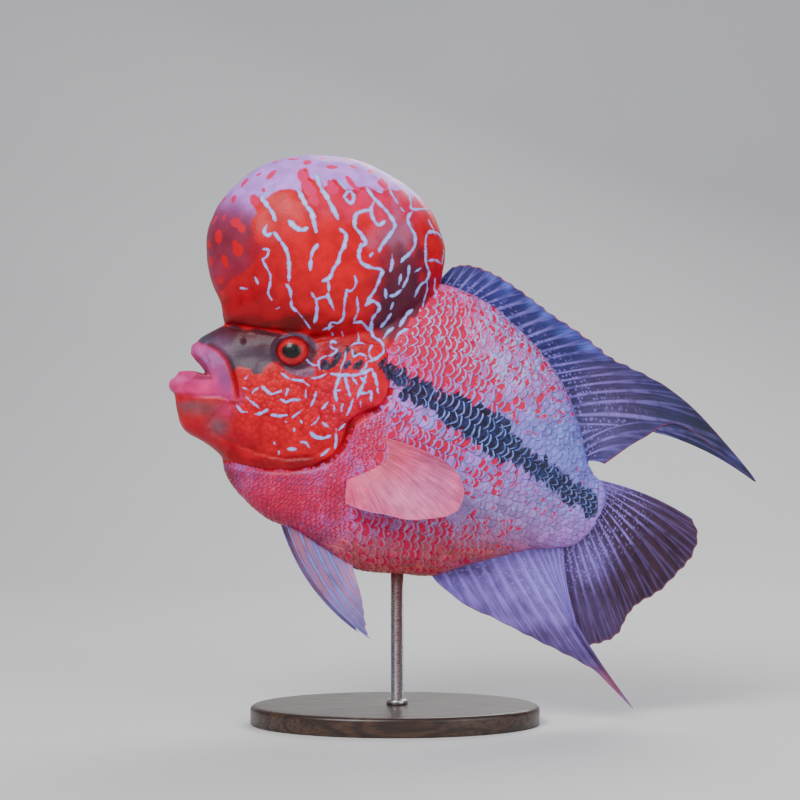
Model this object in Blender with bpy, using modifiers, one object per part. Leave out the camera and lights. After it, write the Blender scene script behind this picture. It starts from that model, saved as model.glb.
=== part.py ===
"""Flowerhorn cichlid, a life-size still model on a plain display stand.

Lengths are millimetres until mesh_object() writes metres. The fish faces -X and its left side is at -Y.
The underside of the stand is at z = 0, with the origin at the middle of it.
"""

import math

import bmesh
import bpy
import numpy as np
from mathutils import Matrix, Vector
from mathutils.bvhtree import BVHTree

for old in list(bpy.data.objects):
    bpy.data.objects.remove(old, do_unlink=True)

MM = 0.001
GAP = 0.3

# Trunk: back x, back z, belly x, belly z, half width, from behind the eye to the root of the tail.
TRUNK = [
    (-49.3, 190.5, -81.3, 123.3, 18.0),
    (-32.9, 197.1, -79.0, 115.3, 20.4),
    (-15.5, 202.3, -72.4, 106.4, 22.0),
    (2.3, 205.6, -60.6, 96.1, 23.4),
    (19.7, 207.0, -48.4, 90.9, 24.2),
    (32.9, 203.2, -32.9, 80.6, 24.4),
    (45.6, 196.7, -17.9, 72.1, 24.0),
    (62.5, 181.6, 2.3, 70.2, 22.4),
    (73.3, 168.9, 17.4, 69.3, 20.2),
    (81.3, 155.8, 32.4, 74.0, 17.4),
    (86.9, 140.2, 48.4, 78.2, 14.0),
    (90.2, 126.2, 62.5, 81.5, 10.4),
    (93.1, 118.6, 71.0, 82.0, 8.4),
    (97.8, 113.5, 78.5, 82.4, 6.4),
    (99.6, 108.8, 85.1, 83.9, 4.6),
    (99.8, 103.6, 91.6, 89.5, 2.8),
]
TRUNK_EGG = 0.10
TRUNK_STEPS = 30
TRUNK_AROUND = 36
FULLNESS = 2.15
STALK_CUT = ((82.0, 152.0), (44.0, 70.0))

# Head: the same columns, from the lips to the nape.
HEAD = [
    (-94.6, 176.0, -105.2, 158.5, 6.5),
    (-91.6, 181.1, -103.4, 152.5, 10.0),
    (-86.0, 184.4, -102.4, 145.8, 12.6),
    (-79.9, 187.7, -99.0, 137.4, 14.8),
    (-70.5, 192.4, -88.8, 131.2, 17.2),
    (-56.4, 197.1, -80.8, 124.0, 19.8),
    (-35.2, 202.3, -72.0, 108.0, 21.8),
    (-9.4, 205.6, -52.0, 93.0, 23.2),
    (17.4, 206.5, -26.0, 78.0, 23.8),
]
HEAD_EGG = 0.06
HEAD_STEPS = 16
HEAD_AROUND = 32
HEAD_SIDE = [
    (-118.0, 186.0), (-96.3, 204.0), (-44.6, 216.0), (17.4, 216.0), (17.4, 205.6), (10.8, 197.6),
    (2.3, 186.8), (-5.2, 177.4), (-3.8, 168.0), (-3.9, 159.1), (-6.8, 152.5), (-11.0, 149.4),
    (-17.5, 146.8), (-22.7, 142.2), (-25.0, 136.0), (-27.4, 130.6), (-32.5, 125.8), (-41.0, 122.4),
    (-49.3, 121.0), (-62.5, 121.2), (-72.8, 123.4), (-80.4, 124.7), (-89.3, 117.0), (-118.0, 128.0),
]
JAW_SIDE = [
    (-118.0, 165.8), (-94.6, 165.4), (-86.2, 161.6), (-76.0, 153.6), (-80.0, 142.0),
    (-88.4, 129.0), (-96.3, 121.0), (-118.0, 126.0),
]
MOUTH_SIDE = [
    (-118.0, 187.0), (-97.8, 176.4), (-93.4, 171.0), (-88.8, 166.6), (-83.0, 162.6),
    (-89.3, 164.2), (-94.6, 165.6), (-118.0, 165.2),
]
UPPER_LIP = [
    (-76.8, 12.6, 154.4), (-81.0, 12.9, 160.4), (-85.6, 11.6, 167.2), (-89.8, 8.6, 172.8),
    (-92.2, 4.6, 175.4), (-92.8, 0.0, 176.0),
]
LOWER_LIP = [
    (-78.4, 11.9, 154.0), (-84.6, 11.8, 157.0), (-91.6, 10.4, 159.8), (-97.8, 7.2, 160.4),
    (-101.4, 3.8, 159.4), (-102.4, 0.0, 158.9),
]
UPPER_LIP_RADII = (2.6, 3.8, 3.1)
LOWER_LIP_RADII = (2.4, 3.9, 4.1)
LIP_STEPS = 16
NOSTRIL = (-71.4, 180.2)
NOSTRIL_RADIUS = 1.1
NOSTRIL_SUNK = 0.3

# Nuchal hump: its side outline round a middle point, swollen to both sides.
HUMP = [
    (-79.4, 186.5), (-82.0, 197.6), (-86.2, 207.5), (-88.8, 220.2), (-88.4, 231.0), (-84.6, 240.8),
    (-78.0, 250.2), (-69.1, 258.7), (-57.8, 264.3), (-44.6, 267.1), (-30.5, 267.1), (-16.4, 264.3),
    (-3.3, 258.7), (8.0, 251.2), (16.4, 242.2), (21.6, 231.9), (24.0, 222.5), (22.8, 213.1),
    (20.2, 204.5), (14.1, 192.4), (0.0, 180.2), (-21.1, 173.7), (-44.6, 173.9), (-65.8, 178.0),
]
HUMP_MIDDLE = (-34.0, 217.0)
HUMP_HALF = 32.0
HUMP_FULLNESS = 2.2
HUMP_RINGS = 9
HUMP_AROUND = 40

# Gill cover: its side outline, how far its hind edge stands up, and how deep it is let in.
GILL_SIDE = [
    (-30.5, 175.5), (-18.0, 178.6), (-5.2, 177.4), (-2.4, 168.0), (-1.9, 159.1), (-3.8, 152.5),
    (-8.0, 148.2), (-15.5, 145.4), (-20.7, 141.7), (-22.6, 136.0), (-25.4, 129.9), (-30.5, 124.7),
    (-39.0, 121.5), (-37.2, 131.2), (-35.8, 141.0), (-35.6, 152.0), (-34.6, 165.0),
]
GILL_MIDDLE = (-24.5, 152.0)
GILL_PROUD = 1.7
GILL_DEPTH = 2.4
GILL_EASED = 0.5
GILL_RISE_FROM = -36.0
GILL_RISE_OVER = 16.0
GILL_RINGS = 4
GILL_AROUND = 26

EYE = (-47.0, 174.4)
EYE_RADIUS = 8.6
EYE_SUNK = 4.4
RIM_RADIUS = 8.3
RIM_THICK = 1.5
RIM_OUT = 3.4

# Fins: tip line at even steps from the first ray to the last, as x, z; roots as trunk stations or x, z.
# Halves are half the thickness of a ray and of the membrane, and the share of it that is left at the tip.
DORSAL_ROOT = (4.0, 11.35)
DORSAL_TIPS = [
    (27.0, 214.6), (33.5, 215.8), (42.0, 213.8), (50.0, 209.8), (58.8, 204.1), (67.0, 197.8),
    (75.5, 191.4), (85.5, 185.0), (95.0, 178.0), (104.0, 171.2), (117.0, 165.2), (132.0, 156.4),
    (148.6, 141.8), (173.2, 112.6), (137.0, 139.8), (117.0, 133.6), (98.8, 121.8),
]
DORSAL_RAYS = 28
DORSAL_HALVES = (1.15, 0.6, 0.45)
DORSAL_NOTCH = 0.035
DORSAL_SPINES = 0.6
DORSAL_RIPPLE = (2.4, 1.6, 0.4)
ANAL_ROOT = (8.0, 12.2)
ANAL_TIPS = [
    (21.1, 65.1), (33.5, 55.4), (46.0, 49.6), (58.8, 43.0), (70.5, 37.0), (82.8, 30.8),
    (95.8, 22.8), (112.4, 6.2), (99.0, 24.6), (91.4, 34.4), (86.4, 43.4), (84.4, 50.0),
]
ANAL_RAYS = 15
ANAL_HALVES = (1.1, 0.6, 0.45)
TAIL_ROOT = [
    (98.6, 113.8), (101.0, 108.6), (100.8, 102.6), (97.4, 95.4), (92.0, 88.6), (85.0, 83.2), (78.9, 81.7),
]
TAIL_TIPS = [
    (141.4, 95.4), (144.2, 89.6), (144.2, 83.6), (141.5, 77.0), (137.8, 72.4), (132.8, 67.4),
    (127.2, 61.8), (121.8, 58.2), (116.0, 55.2), (112.2, 51.6), (109.0, 46.4), (106.6, 41.6),
    (102.4, 38.2), (97.0, 36.4), (91.8, 35.8), (86.2, 38.8),
]
TAIL_RAYS = 16
TAIL_HALVES = (1.15, 0.6, 0.45)
TAIL_INTO = -0.06
PECTORAL_ROOT = [(-19.0, 137.0), (-19.6, 130.0), (-21.4, 119.0)]
PECTORAL_TIPS = [
    (24.0, 123.6), (29.0, 118.0), (31.5, 110.6), (29.6, 102.9), (25.0, 99.6), (20.0, 98.4),
    (14.0, 97.6), (8.0, 97.4), (2.0, 98.2), (-4.0, 99.6), (-10.4, 100.8), (-16.4, 102.4),
    (-22.6, 105.0),
]
PECTORAL_ROOT_Y = (19.5, 19.5, 19.5)
PECTORAL_TIPS_Y = (36.0, 35.0, 32.0)
PECTORAL_RAYS = 12
PECTORAL_HALVES = (0.95, 0.5, 0.55)
PELVIC_ROOT = [(-51.0, 93.0), (-36.0, 86.0), (-21.0, 77.5)]
PELVIC_TIPS = [(-11.0, 39.8), (-12.4, 42.6), (-13.4, 47.0), (-14.2, 52.4), (-15.0, 57.4), (-16.4, 62.6)]
PELVIC_ROOT_Y = (5.0, 5.0, 5.0)
PELVIC_TIPS_Y = (14.0, 13.0, 11.0)
PELVIC_RAYS = 6
PELVIC_HALVES = (1.2, 0.6, 0.5)
PELVIC_RIGHT_AHEAD = 3.0

# The hind body swings to the right from here on.
SWAY_FROM = 25.0
SWAY = 0.00095

BASE_HALF = (68.0, 47.0)
BASE_HEIGHT = 9.0
BASE_ROUND = 2.0
ROD_AT = 1.0
ROD_RADIUS = 3.0
ROD_TOP = 84.0
ROD_FOOT = 4.0

ASIDE = 60.0
SMOOTH_UNDER = math.radians(35)

# Colour, roughness and metal of each node's material.
COLOURS = {
    "head": (0.45, 0.22, 0.26), "lower_jaw": (0.55, 0.33, 0.38), "nuchal_hump": (0.75, 0.10, 0.12),
    "gill_cover_left": (0.70, 0.12, 0.12), "gill_cover_right": (0.70, 0.12, 0.12),
    "eye_left": (0.55, 0.03, 0.02), "eye_right": (0.55, 0.03, 0.02),
    "torso": (0.50, 0.36, 0.55), "tail_stalk": (0.45, 0.40, 0.62),
    "dorsal_fin": (0.12, 0.16, 0.60), "anal_fin": (0.40, 0.42, 0.75), "tail_fin": (0.36, 0.24, 0.42),
    "pectoral_fin_left": (0.75, 0.45, 0.48), "pectoral_fin_right": (0.75, 0.45, 0.48),
    "pelvic_fin_left": (0.45, 0.42, 0.75), "pelvic_fin_right": (0.45, 0.42, 0.75),
    "stand_base": (0.05, 0.035, 0.03), "stand_rod": (0.60, 0.60, 0.62),
}
ROUGHNESS = {"eye_left": 0.1, "eye_right": 0.1, "stand_rod": 0.3}
SKIN_ROUGHNESS = 0.4

model = bpy.data.collections.new("flowerhorn_cichlid")
cutters = bpy.data.collections.new("cutters")
for group in (model, cutters):
    bpy.context.scene.collection.children.link(group)


def sway(x):
    """How far the hind body swings to the right, where the trunk's mid-plane is at this x."""
    return SWAY * np.maximum(0.0, np.asarray(x, float) - SWAY_FROM) ** 2


def along(rows, t, closed=False):
    """The smooth curve through these rows at t, counted in rows."""
    rows = np.asarray(rows, float)
    n = len(rows)
    i = int(math.floor(t)) if closed else int(min(max(math.floor(t), 0), n - 2))
    f = t - i

    def row(k):
        if closed:
            return rows[k % n]
        if k < 0:
            return 2 * rows[0] - rows[1]
        if k >= n:
            return 2 * rows[-1] - rows[-2]
        return rows[k]

    a, b, c, d = row(i - 1), row(i), row(i + 1), row(i + 2)
    return b + 0.5 * f * (c - a + f * (2 * a - 5 * b + 4 * c - d + f * (3 * (b - c) + d - a)))


def smooth(x):
    x = min(max(x, 0.0), 1.0)
    return x * x * (3 - 2 * x)


def node(name, mesh):
    """Puts a mesh in the cutters' collection, where it stays unless it is kept as a part."""
    obj = bpy.data.objects.new(name, mesh)
    cutters.objects.link(obj)
    obj.hide_render = True
    obj.display_type = "WIRE"
    return obj


def kept(obj):
    """Moves a finished solid to the model, with its own material."""
    cutters.objects.unlink(obj)
    model.objects.link(obj)
    obj.hide_render = False
    obj.display_type = "TEXTURED"
    obj.data.shade_smooth()
    obj.data.set_sharp_from_angle(angle=SMOOTH_UNDER)
    paint = bpy.data.materials.new(obj.name)
    paint.use_nodes = True
    shader = paint.node_tree.nodes["Principled BSDF"]
    shader.inputs["Base Color"].default_value = (*COLOURS[obj.name], 1)
    shader.inputs["Roughness"].default_value = ROUGHNESS.get(obj.name, SKIN_ROUGHNESS)
    shader.inputs["Metallic"].default_value = 1.0 if obj.name == "stand_rod" else 0.0
    obj.data.materials.clear()
    obj.data.materials.append(paint)
    return obj


def mesh_object(name, points, faces, swung=True):
    """A closed mesh from millimetre points, its faces turned outwards."""
    points = np.array(points, float)
    if swung:
        points[:, 1] += sway(points[:, 0])
    mesh = bpy.data.meshes.new(name)
    mesh.from_pydata((points * MM).tolist(), [], [list(map(int, f)) for f in faces])
    work = bmesh.new()
    work.from_mesh(mesh)
    bmesh.ops.recalc_face_normals(work, faces=work.faces)
    if work.calc_volume(signed=True) < 0:
        bmesh.ops.reverse_faces(work, faces=work.faces)
    work.to_mesh(mesh)
    work.free()
    return node(name, mesh)


def finished(name, work):
    """The bmesh, in millimetres, as an object in metres."""
    bmesh.ops.scale(work, vec=(MM, MM, MM), verts=work.verts)
    bmesh.ops.recalc_face_normals(work, faces=work.faces)
    mesh = bpy.data.meshes.new(name)
    work.to_mesh(mesh)
    work.free()
    return node(name, mesh)


def added(name):
    """The object that an operator has just added, moved to the cutters' collection."""
    obj = bpy.context.active_object
    obj.name = name
    bpy.ops.object.transform_apply(location=True, rotation=True, scale=True)
    for group in list(obj.users_collection):
        group.objects.unlink(obj)
    cutters.objects.link(obj)
    return obj


def tube_faces(rings, around):
    """Triangles of rings of points joined in order, with a fan over each end."""
    faces = []
    for i in range(rings - 1):
        for j in range(around):
            k = (j + 1) % around
            a, b, c, d = i * around + j, i * around + k, (i + 1) * around + k, (i + 1) * around + j
            faces += [(a, b, c), (a, c, d)]
    first, last = rings * around, rings * around + 1
    for j in range(around):
        k = (j + 1) % around
        faces.append((first, k, j))
        faces.append((last, (rings - 1) * around + j, (rings - 1) * around + k))
    return faces


def ladder(name, rows, steps, around, egg, grow=0.0):
    """A body lofted through oval sections, each standing between a back point and a belly point."""
    points = []
    for s in range(steps + 1):
        bx, bz, vx, vz, half = along(rows, s * (len(rows) - 1) / steps)
        mid = np.array([(bx + vx) / 2, 0, (bz + vz) / 2])
        up = np.array([(bx - vx) / 2, 0, (bz - vz) / 2])
        up *= 1 + grow / np.linalg.norm(up)
        for j in range(around):
            t = 2 * math.pi * j / around
            c, k = math.cos(t), math.sin(t)
            full = 2 / FULLNESS
            side = math.copysign(abs(c) ** full, c) * (half + grow) * (1 - egg * k)
            points.append(mid + up * math.copysign(abs(k) ** full, k) + np.array([0, side, 0]))
    count = steps + 1
    points.append(np.mean(points[:around], axis=0))
    points.append(np.mean(points[(count - 1) * around : count * around], axis=0))
    return mesh_object(name, points, tube_faces(count, around))


def trunk_solid(name, grow=0.0):
    return ladder(name, TRUNK, TRUNK_STEPS, TRUNK_AROUND, TRUNK_EGG, grow)


def head_solid(name, grow=0.0):
    return ladder(name, HEAD, HEAD_STEPS, HEAD_AROUND, HEAD_EGG, grow)


def prism(name, outline):
    """A flat side outline carried right across the fish."""
    work = bmesh.new()
    flat = work.faces.new([work.verts.new((x, -ASIDE, z)) for x, z in outline])
    made = bmesh.ops.extrude_face_region(work, geom=[flat])["geom"]
    far = [v for v in made if isinstance(v, bmesh.types.BMVert)]
    bmesh.ops.translate(work, vec=(0, 2 * ASIDE, 0), verts=far)
    return finished(name, work)


def offset(outline, by):
    """The closed outline moved outwards, with its corners kept."""
    pts = np.asarray(outline, float)
    area = np.sum(pts[:, 0] * np.roll(pts[:, 1], -1) - pts[:, 1] * np.roll(pts[:, 0], -1))
    before, after = pts - np.roll(pts, 1, 0), np.roll(pts, -1, 0) - pts
    sign = 1 if area > 0 else -1
    out = []
    for p, a, b in zip(pts, before, after):
        na = sign * np.array([a[1], -a[0]]) / np.linalg.norm(a)
        nb = sign * np.array([b[1], -b[0]]) / np.linalg.norm(b)
        out.append(tuple(p + by * (na + nb) / max(1 + np.dot(na, nb), 0.5)))
    return out


def rounded(outline, count):
    """The outline as this many points on a smooth closed curve."""
    n = len(outline)
    return [tuple(along(outline, n * j / count, closed=True)) for j in range(count)]


def lip(name, path, radii, grow=0.0):
    """A rolled lip: a bevelled curve along a path given for one side and mirrored in Y."""
    whole = [np.array(p, float) for p in path]
    whole += [p * np.array([1, -1, 1]) for p in whole[-2::-1]]
    curve = bpy.data.curves.new(name, "CURVE")
    curve.dimensions = "3D"
    curve.bevel_depth = MM
    curve.bevel_resolution = 3
    curve.use_fill_caps = True
    spline = curve.splines.new("POLY")
    spline.points.add(LIP_STEPS)
    for s, point in enumerate(spline.points):
        t = s / LIP_STEPS
        point.co = (*(along(whole, t * (len(whole) - 1)) * MM), 1)
        point.radius = along(radii, 2 * (1 - abs(2 * t - 1))) + grow
    tube = bpy.data.objects.new(name + "_curve", curve)
    cutters.objects.link(tube)
    bpy.context.view_layer.update()
    graph = bpy.context.evaluated_depsgraph_get()
    mesh = bpy.data.meshes.new_from_object(tube.evaluated_get(graph))
    bpy.data.objects.remove(tube, do_unlink=True)
    work = bmesh.new()
    work.from_mesh(mesh)
    bmesh.ops.remove_doubles(work, verts=work.verts, dist=0.001 * MM)
    bmesh.ops.triangulate(work, faces=work.faces)
    bmesh.ops.recalc_face_normals(work, faces=work.faces)
    work.to_mesh(mesh)
    work.free()
    return node(name, mesh)


def ball(name, centre, radius, around=20, rings=10):
    """A sphere with its poles to the left and right."""
    work = bmesh.new()
    place = Matrix.Translation(Vector(centre)) @ Matrix.Rotation(math.pi / 2, 4, "X")
    bmesh.ops.create_uvsphere(work, u_segments=around, v_segments=rings, radius=radius, matrix=place)
    return finished(name, work)


def eye_rim(name, side, grow=0.0):
    """A ring of skin round the eye, facing sideways."""
    x, y, z = eye_centre(side)
    bpy.ops.mesh.primitive_torus_add(
        major_segments=24, minor_segments=6, major_radius=RIM_RADIUS * MM,
        minor_radius=(RIM_THICK + grow) * MM, location=(x * MM, (y + side * RIM_OUT) * MM, z * MM),
        rotation=(math.pi / 2, 0, 0),
    )
    return added(name)


def rod(name, radius, z0, z1):
    """An upright round bar of the stand."""
    work = bmesh.new()
    bmesh.ops.create_cone(
        work, cap_ends=True, segments=24, radius1=radius, radius2=radius, depth=z1 - z0,
        matrix=Matrix.Translation((ROD_AT, 0, (z0 + z1) / 2)),
    )
    return finished(name, work)


def boolean(obj, operation, others):
    """Applies one Boolean with these objects, which are then removed, and keeps the largest body."""
    group = bpy.data.collections.new(obj.name + "_tools")
    for other in others:
        group.objects.link(other)
    change = obj.modifiers.new(operation.lower(), "BOOLEAN")
    change.operation = operation
    change.operand_type = "COLLECTION"
    change.collection = group
    change.solver = "EXACT"
    bpy.context.view_layer.update()
    graph = bpy.context.evaluated_depsgraph_get()
    made = bpy.data.meshes.new_from_object(obj.evaluated_get(graph))
    obj.modifiers.clear()
    obj.data = made
    for other in others:
        bpy.data.objects.remove(other, do_unlink=True)
    bpy.data.collections.remove(group)
    keep_largest(obj)
    return obj


def keep_largest(obj):
    """Removes every loose body but the one with the most points."""
    work = bmesh.new()
    work.from_mesh(obj.data)
    work.verts.ensure_lookup_table()
    left, bodies = set(work.verts), []
    while left:
        seed = left.pop()
        body, front = {seed}, [seed]
        while front:
            for edge in front.pop().link_edges:
                for v in edge.verts:
                    if v in left:
                        left.remove(v)
                        body.add(v)
                        front.append(v)
        bodies.append(body)
    bodies.sort(key=len)
    for body in bodies[:-1]:
        bmesh.ops.delete(work, geom=list(body), context="VERTS")
    work.to_mesh(obj.data)
    work.free()


def tree_of(obj):
    return BVHTree.FromPolygons(
        [v.co / MM for v in obj.data.vertices], [tuple(p.vertices) for p in obj.data.polygons]
    )


def reach(x, z, side):
    """The y of the flesh's outermost surface at this x and z, on the side given as -1 or 1."""
    found = []
    for tree in flesh:
        hit = tree.ray_cast(Vector((x, 1.5 * side * ASIDE, z)), Vector((0, -side, 0)))
        if hit[0] is not None:
            found.append(side * hit[0].y)
    return side * max(found) if found else 0.0


def eye_centre(side):
    return (EYE[0], reach(EYE[0], EYE[1], side) - side * EYE_SUNK, EYE[1])


def gill_plate(name, side, grow=0.0, proud=GILL_PROUD, depth=GILL_DEPTH):
    """A curved plate over the cheek: flush in front and standing up along its hind edge."""
    outline = rounded(offset(GILL_SIDE, grow), GILL_AROUND)
    cx, cz = GILL_MIDDLE
    n = len(outline)
    outer, inner = [], []
    for i in range(1, GILL_RINGS + 1):
        rho = (i / GILL_RINGS) ** 0.8
        for x, z in outline:
            px, pz = cx + (x - cx) * rho, cz + (z - cz) * rho
            y = abs(reach(px, pz, side))
            rise = proud * smooth((px - GILL_RISE_FROM) / GILL_RISE_OVER + (cz - 2 - pz) / 60.0)
            if grow == 0 and i == GILL_RINGS:
                rise -= GILL_EASED
            outer.append((px, side * (y + rise), pz))
            inner.append((px, side * (y - depth), pz))
    y = abs(reach(cx, cz, side))
    rise = proud * smooth((cx - GILL_RISE_FROM) / GILL_RISE_OVER)
    points = outer + inner + [(cx, side * (y + rise), cz), (cx, side * (y - depth), cz)]
    m = GILL_RINGS * n
    faces = []
    for i in range(GILL_RINGS - 1):
        for j in range(n):
            k = (j + 1) % n
            a, b, c, d = i * n + j, i * n + k, (i + 1) * n + k, (i + 1) * n + j
            faces += [(a, b, c), (a, c, d), (m + b, m + a, m + c), (m + c, m + a, m + d)]
    for j in range(n):
        k = (j + 1) % n
        faces += [(2 * m, k, j), (2 * m + 1, m + j, m + k)]
        a, b = (GILL_RINGS - 1) * n + j, (GILL_RINGS - 1) * n + k
        faces += [(a, b, m + b), (a, m + b, m + a)]
    return mesh_object(name, points, faces, swung=False)


def gill_slots(tag):
    """The room that both gill covers and the gap round them take up."""
    far_out = 9.0
    return [gill_plate(f"{tag}_slot_{s}", s, GAP, far_out, GILL_DEPTH + GAP) for s in (-1, 1)]


def hump(name, grow=0.0):
    """The forehead's swelling: its outline shrinks towards a pole on each side."""
    outline = rounded(offset(HUMP, grow), HUMP_AROUND)
    cx, cz = HUMP_MIDDLE
    n = len(outline)
    points, faces = [], []
    for i in range(1, HUMP_RINGS):
        rho = math.sin(math.pi / 2 * i / HUMP_RINGS)
        half = (HUMP_HALF + grow) * (1 - rho**HUMP_FULLNESS) ** 0.5
        for side in (-1, 1):
            points += [(cx + (x - cx) * rho, side * half, cz + (z - cz) * rho) for x, z in outline]
    base = len(points)
    points += [(x, 0, z) for x, z in outline]
    points += [(cx, -HUMP_HALF - grow, cz), (cx, HUMP_HALF + grow, cz)]
    for s in (0, 1):
        for j in range(n):
            k = (j + 1) % n
            faces.append((base + n + s, s * n + j, s * n + k))
            for i in range(HUMP_RINGS - 2):
                a, b = (2 * i + s) * n + j, (2 * i + s) * n + k
                faces += [(a, b, b + 2 * n), (a, b + 2 * n, a + 2 * n)]
            a, b = (2 * (HUMP_RINGS - 2) + s) * n + j, (2 * (HUMP_RINGS - 2) + s) * n + k
            faces += [(a, b, base + k), (a, base + k, base + j)]
    return mesh_object(name, points, faces, swung=False)


def behind_stalk(name, shift):
    """Everything behind the line where the tail stalk begins."""
    (x0, z0), (x1, z1) = STALK_CUT
    dx, dz = x0 - x1, z0 - z1
    size = math.hypot(dx, dz)
    nx, nz = dz / size, -dx / size
    top = (x0 + dx + nx * shift, z0 + dz + nz * shift)
    low = (x1 - dx + nx * shift, z1 - dz + nz * shift)
    back = [(x + 150.0 * nx, z + 150.0 * nz) for x, z in (top, low)]
    return prism(name, [low, top, *back])


def line(rows, lift):
    """A curve through x, z rows as a function of 0 to 1, with y from lift."""
    def at(u):
        x, z = along(rows, u * (len(rows) - 1))
        return np.array([x, lift(u), z])
    return at


def rows_of_y(values, side):
    """Sideways places at even steps, as a function of 0 to 1."""
    return lambda u: side * along(values, u * (len(values) - 1))


def edge_of_trunk(span, back):
    """The trunk's back or belly line between two stations, moved clear of it."""
    def at(u):
        t = span[0] + (span[1] - span[0]) * u
        pick = (0, 1) if back else (2, 3)
        here, ahead = along(TRUNK, t), along(TRUNK, t + 0.02)
        x, z = here[pick[0]], here[pick[1]]
        dx, dz = ahead[pick[0]] - x, ahead[pick[1]] - z
        size = math.hypot(dx, dz)
        nx, nz = (-dz / size, dx / size) if back else (dz / size, -dx / size)
        return np.array([x + GAP * nx, 0, z + GAP * nz])
    return at


def fan(name, root, tips, rays, rows, bulge, halves, notch, start=0.0):
    """A fin: each ray runs on a bent line from root to tip and stands up as a ridge on both faces."""
    columns = 2 * (rays - 1) + 1
    grid = np.zeros((columns, rows + 1, 3))
    thick = np.zeros((columns, rows + 1))
    ray, web, tip = halves
    for c in range(columns):
        u = c / (columns - 1)
        on_ray = c % 2 == 0
        a, b = root(u), tips(u)
        across = np.array([-(b - a)[2], 0, (b - a)[0]])
        bend = (a + b) / 2 + bulge(u) * across
        end = 1.0 if on_ray else 1.0 - notch(u)
        for r in range(rows + 1):
            v = start + (end - start) * r / rows
            grid[c, r] = (1 - v) ** 2 * a + 2 * v * (1 - v) * bend + v * v * b
            thick[c, r] = (ray if on_ray else web) * (1 - (1 - tip) * max(v, 0))
    du, dv = np.gradient(grid, axis=0), np.gradient(grid, axis=1)
    normal = np.cross(du, dv)
    normal /= np.linalg.norm(normal, axis=2, keepdims=True)
    left = (grid + normal * thick[..., None]).reshape(-1, 3)
    right = (grid - normal * thick[..., None]).reshape(-1, 3)
    n, high = columns * (rows + 1), rows + 1
    faces = []
    for c in range(columns - 1):
        for r in range(rows):
            a, b, d, e = c * high + r, (c + 1) * high + r, (c + 1) * high + r + 1, c * high + r + 1
            if (c % 2 == 0) ^ (r % 2 == 0):
                faces += [(a, b, d), (a, d, e), (n + b, n + a, n + d), (n + d, n + a, n + e)]
            else:
                faces += [(a, b, e), (b, d, e), (n + b, n + a, n + e), (n + d, n + b, n + e)]
    rim = [c * high for c in range(columns)] + [(columns - 1) * high + r for r in range(1, high)]
    rim += [c * high + rows for c in range(columns - 2, -1, -1)] + [r for r in range(rows - 1, 0, -1)]
    for a, b in zip(rim, rim[1:] + rim[:1]):
        faces += [(a, n + a, n + b), (a, n + b, b)]
    return mesh_object(name, np.vstack([left, right]), faces)


def same(value):
    return lambda u: value


# Trunk and head masses, which the sub-parts are cut from.
trunk = trunk_solid("trunk_mass")
head_mass = head_solid("head_mass")
flesh = [tree_of(trunk), tree_of(head_mass)]

# Head: lips and eye rims joined on, then the mouth, nostrils, sockets and gill slots cut.
head = head_solid("head")
boolean(head, "INTERSECT", [prism("side", HEAD_SIDE)])
boolean(head, "DIFFERENCE", [prism("jaw_space", offset(JAW_SIDE, GAP))])
boolean(head, "DIFFERENCE", [prism("mouth", MOUTH_SIDE)])
boolean(head, "UNION", [lip("upper_lip", UPPER_LIP, UPPER_LIP_RADII)])
boolean(head, "UNION", [eye_rim(f"rim_{s}", s) for s in (-1, 1)])
boolean(head, "DIFFERENCE", [lip("lower_lip_room", LOWER_LIP, LOWER_LIP_RADII, GAP)])
hollows = gill_slots("head")
for s in (-1, 1):
    hollows.append(ball(f"socket_{s}", eye_centre(s), EYE_RADIUS + GAP))
    y = reach(NOSTRIL[0], NOSTRIL[1], s) - s * NOSTRIL_SUNK
    hollows.append(ball(f"nostril_{s}", (NOSTRIL[0], y, NOSTRIL[1]), NOSTRIL_RADIUS, 10, 6))
boolean(head, "DIFFERENCE", hollows)
kept(head)

jaw = head_solid("lower_jaw")
boolean(jaw, "INTERSECT", [prism("side", JAW_SIDE)])
boolean(jaw, "DIFFERENCE", [prism("mouth", MOUTH_SIDE)])
boolean(jaw, "UNION", [lip("lower_lip", LOWER_LIP, LOWER_LIP_RADII)])
boolean(jaw, "DIFFERENCE", [lip("upper_lip_room", UPPER_LIP, UPPER_LIP_RADII, GAP)])
kept(jaw)

for s, word in ((-1, "left"), (1, "right")):
    kept(ball(f"eye_{word}", eye_centre(s), EYE_RADIUS))
    kept(gill_plate(f"gill_cover_{word}", s))

# Trunk, cut into torso and tail stalk.
torso = trunk_solid("torso")
boolean(torso, "DIFFERENCE", [prism("head_room", offset(HEAD_SIDE, GAP))])
boolean(torso, "DIFFERENCE", [behind_stalk("stalk_room", -GAP / 2)])
boolean(torso, "DIFFERENCE", gill_slots("torso") + [rod("rod_room", ROD_RADIUS + GAP, 20, ROD_TOP + GAP)])
kept(torso)
stalk = trunk_solid("tail_stalk")
boolean(stalk, "INTERSECT", [behind_stalk("stalk_side", GAP / 2)])
kept(stalk)

# Nuchal hump, sitting on the head and the nape.
nuchal = hump("nuchal_hump")
boolean(nuchal, "DIFFERENCE", [head_solid("head_room", GAP)])
boolean(nuchal, "DIFFERENCE", [trunk_solid("trunk_room", GAP)])
rooms = [eye_rim(f"rim_room_{s}", s, GAP) for s in (-1, 1)]
rooms += [ball(f"eye_room_{s}", eye_centre(s), EYE_RADIUS + 2 * GAP) for s in (-1, 1)]
boolean(nuchal, "DIFFERENCE", rooms)
kept(nuchal)

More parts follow.
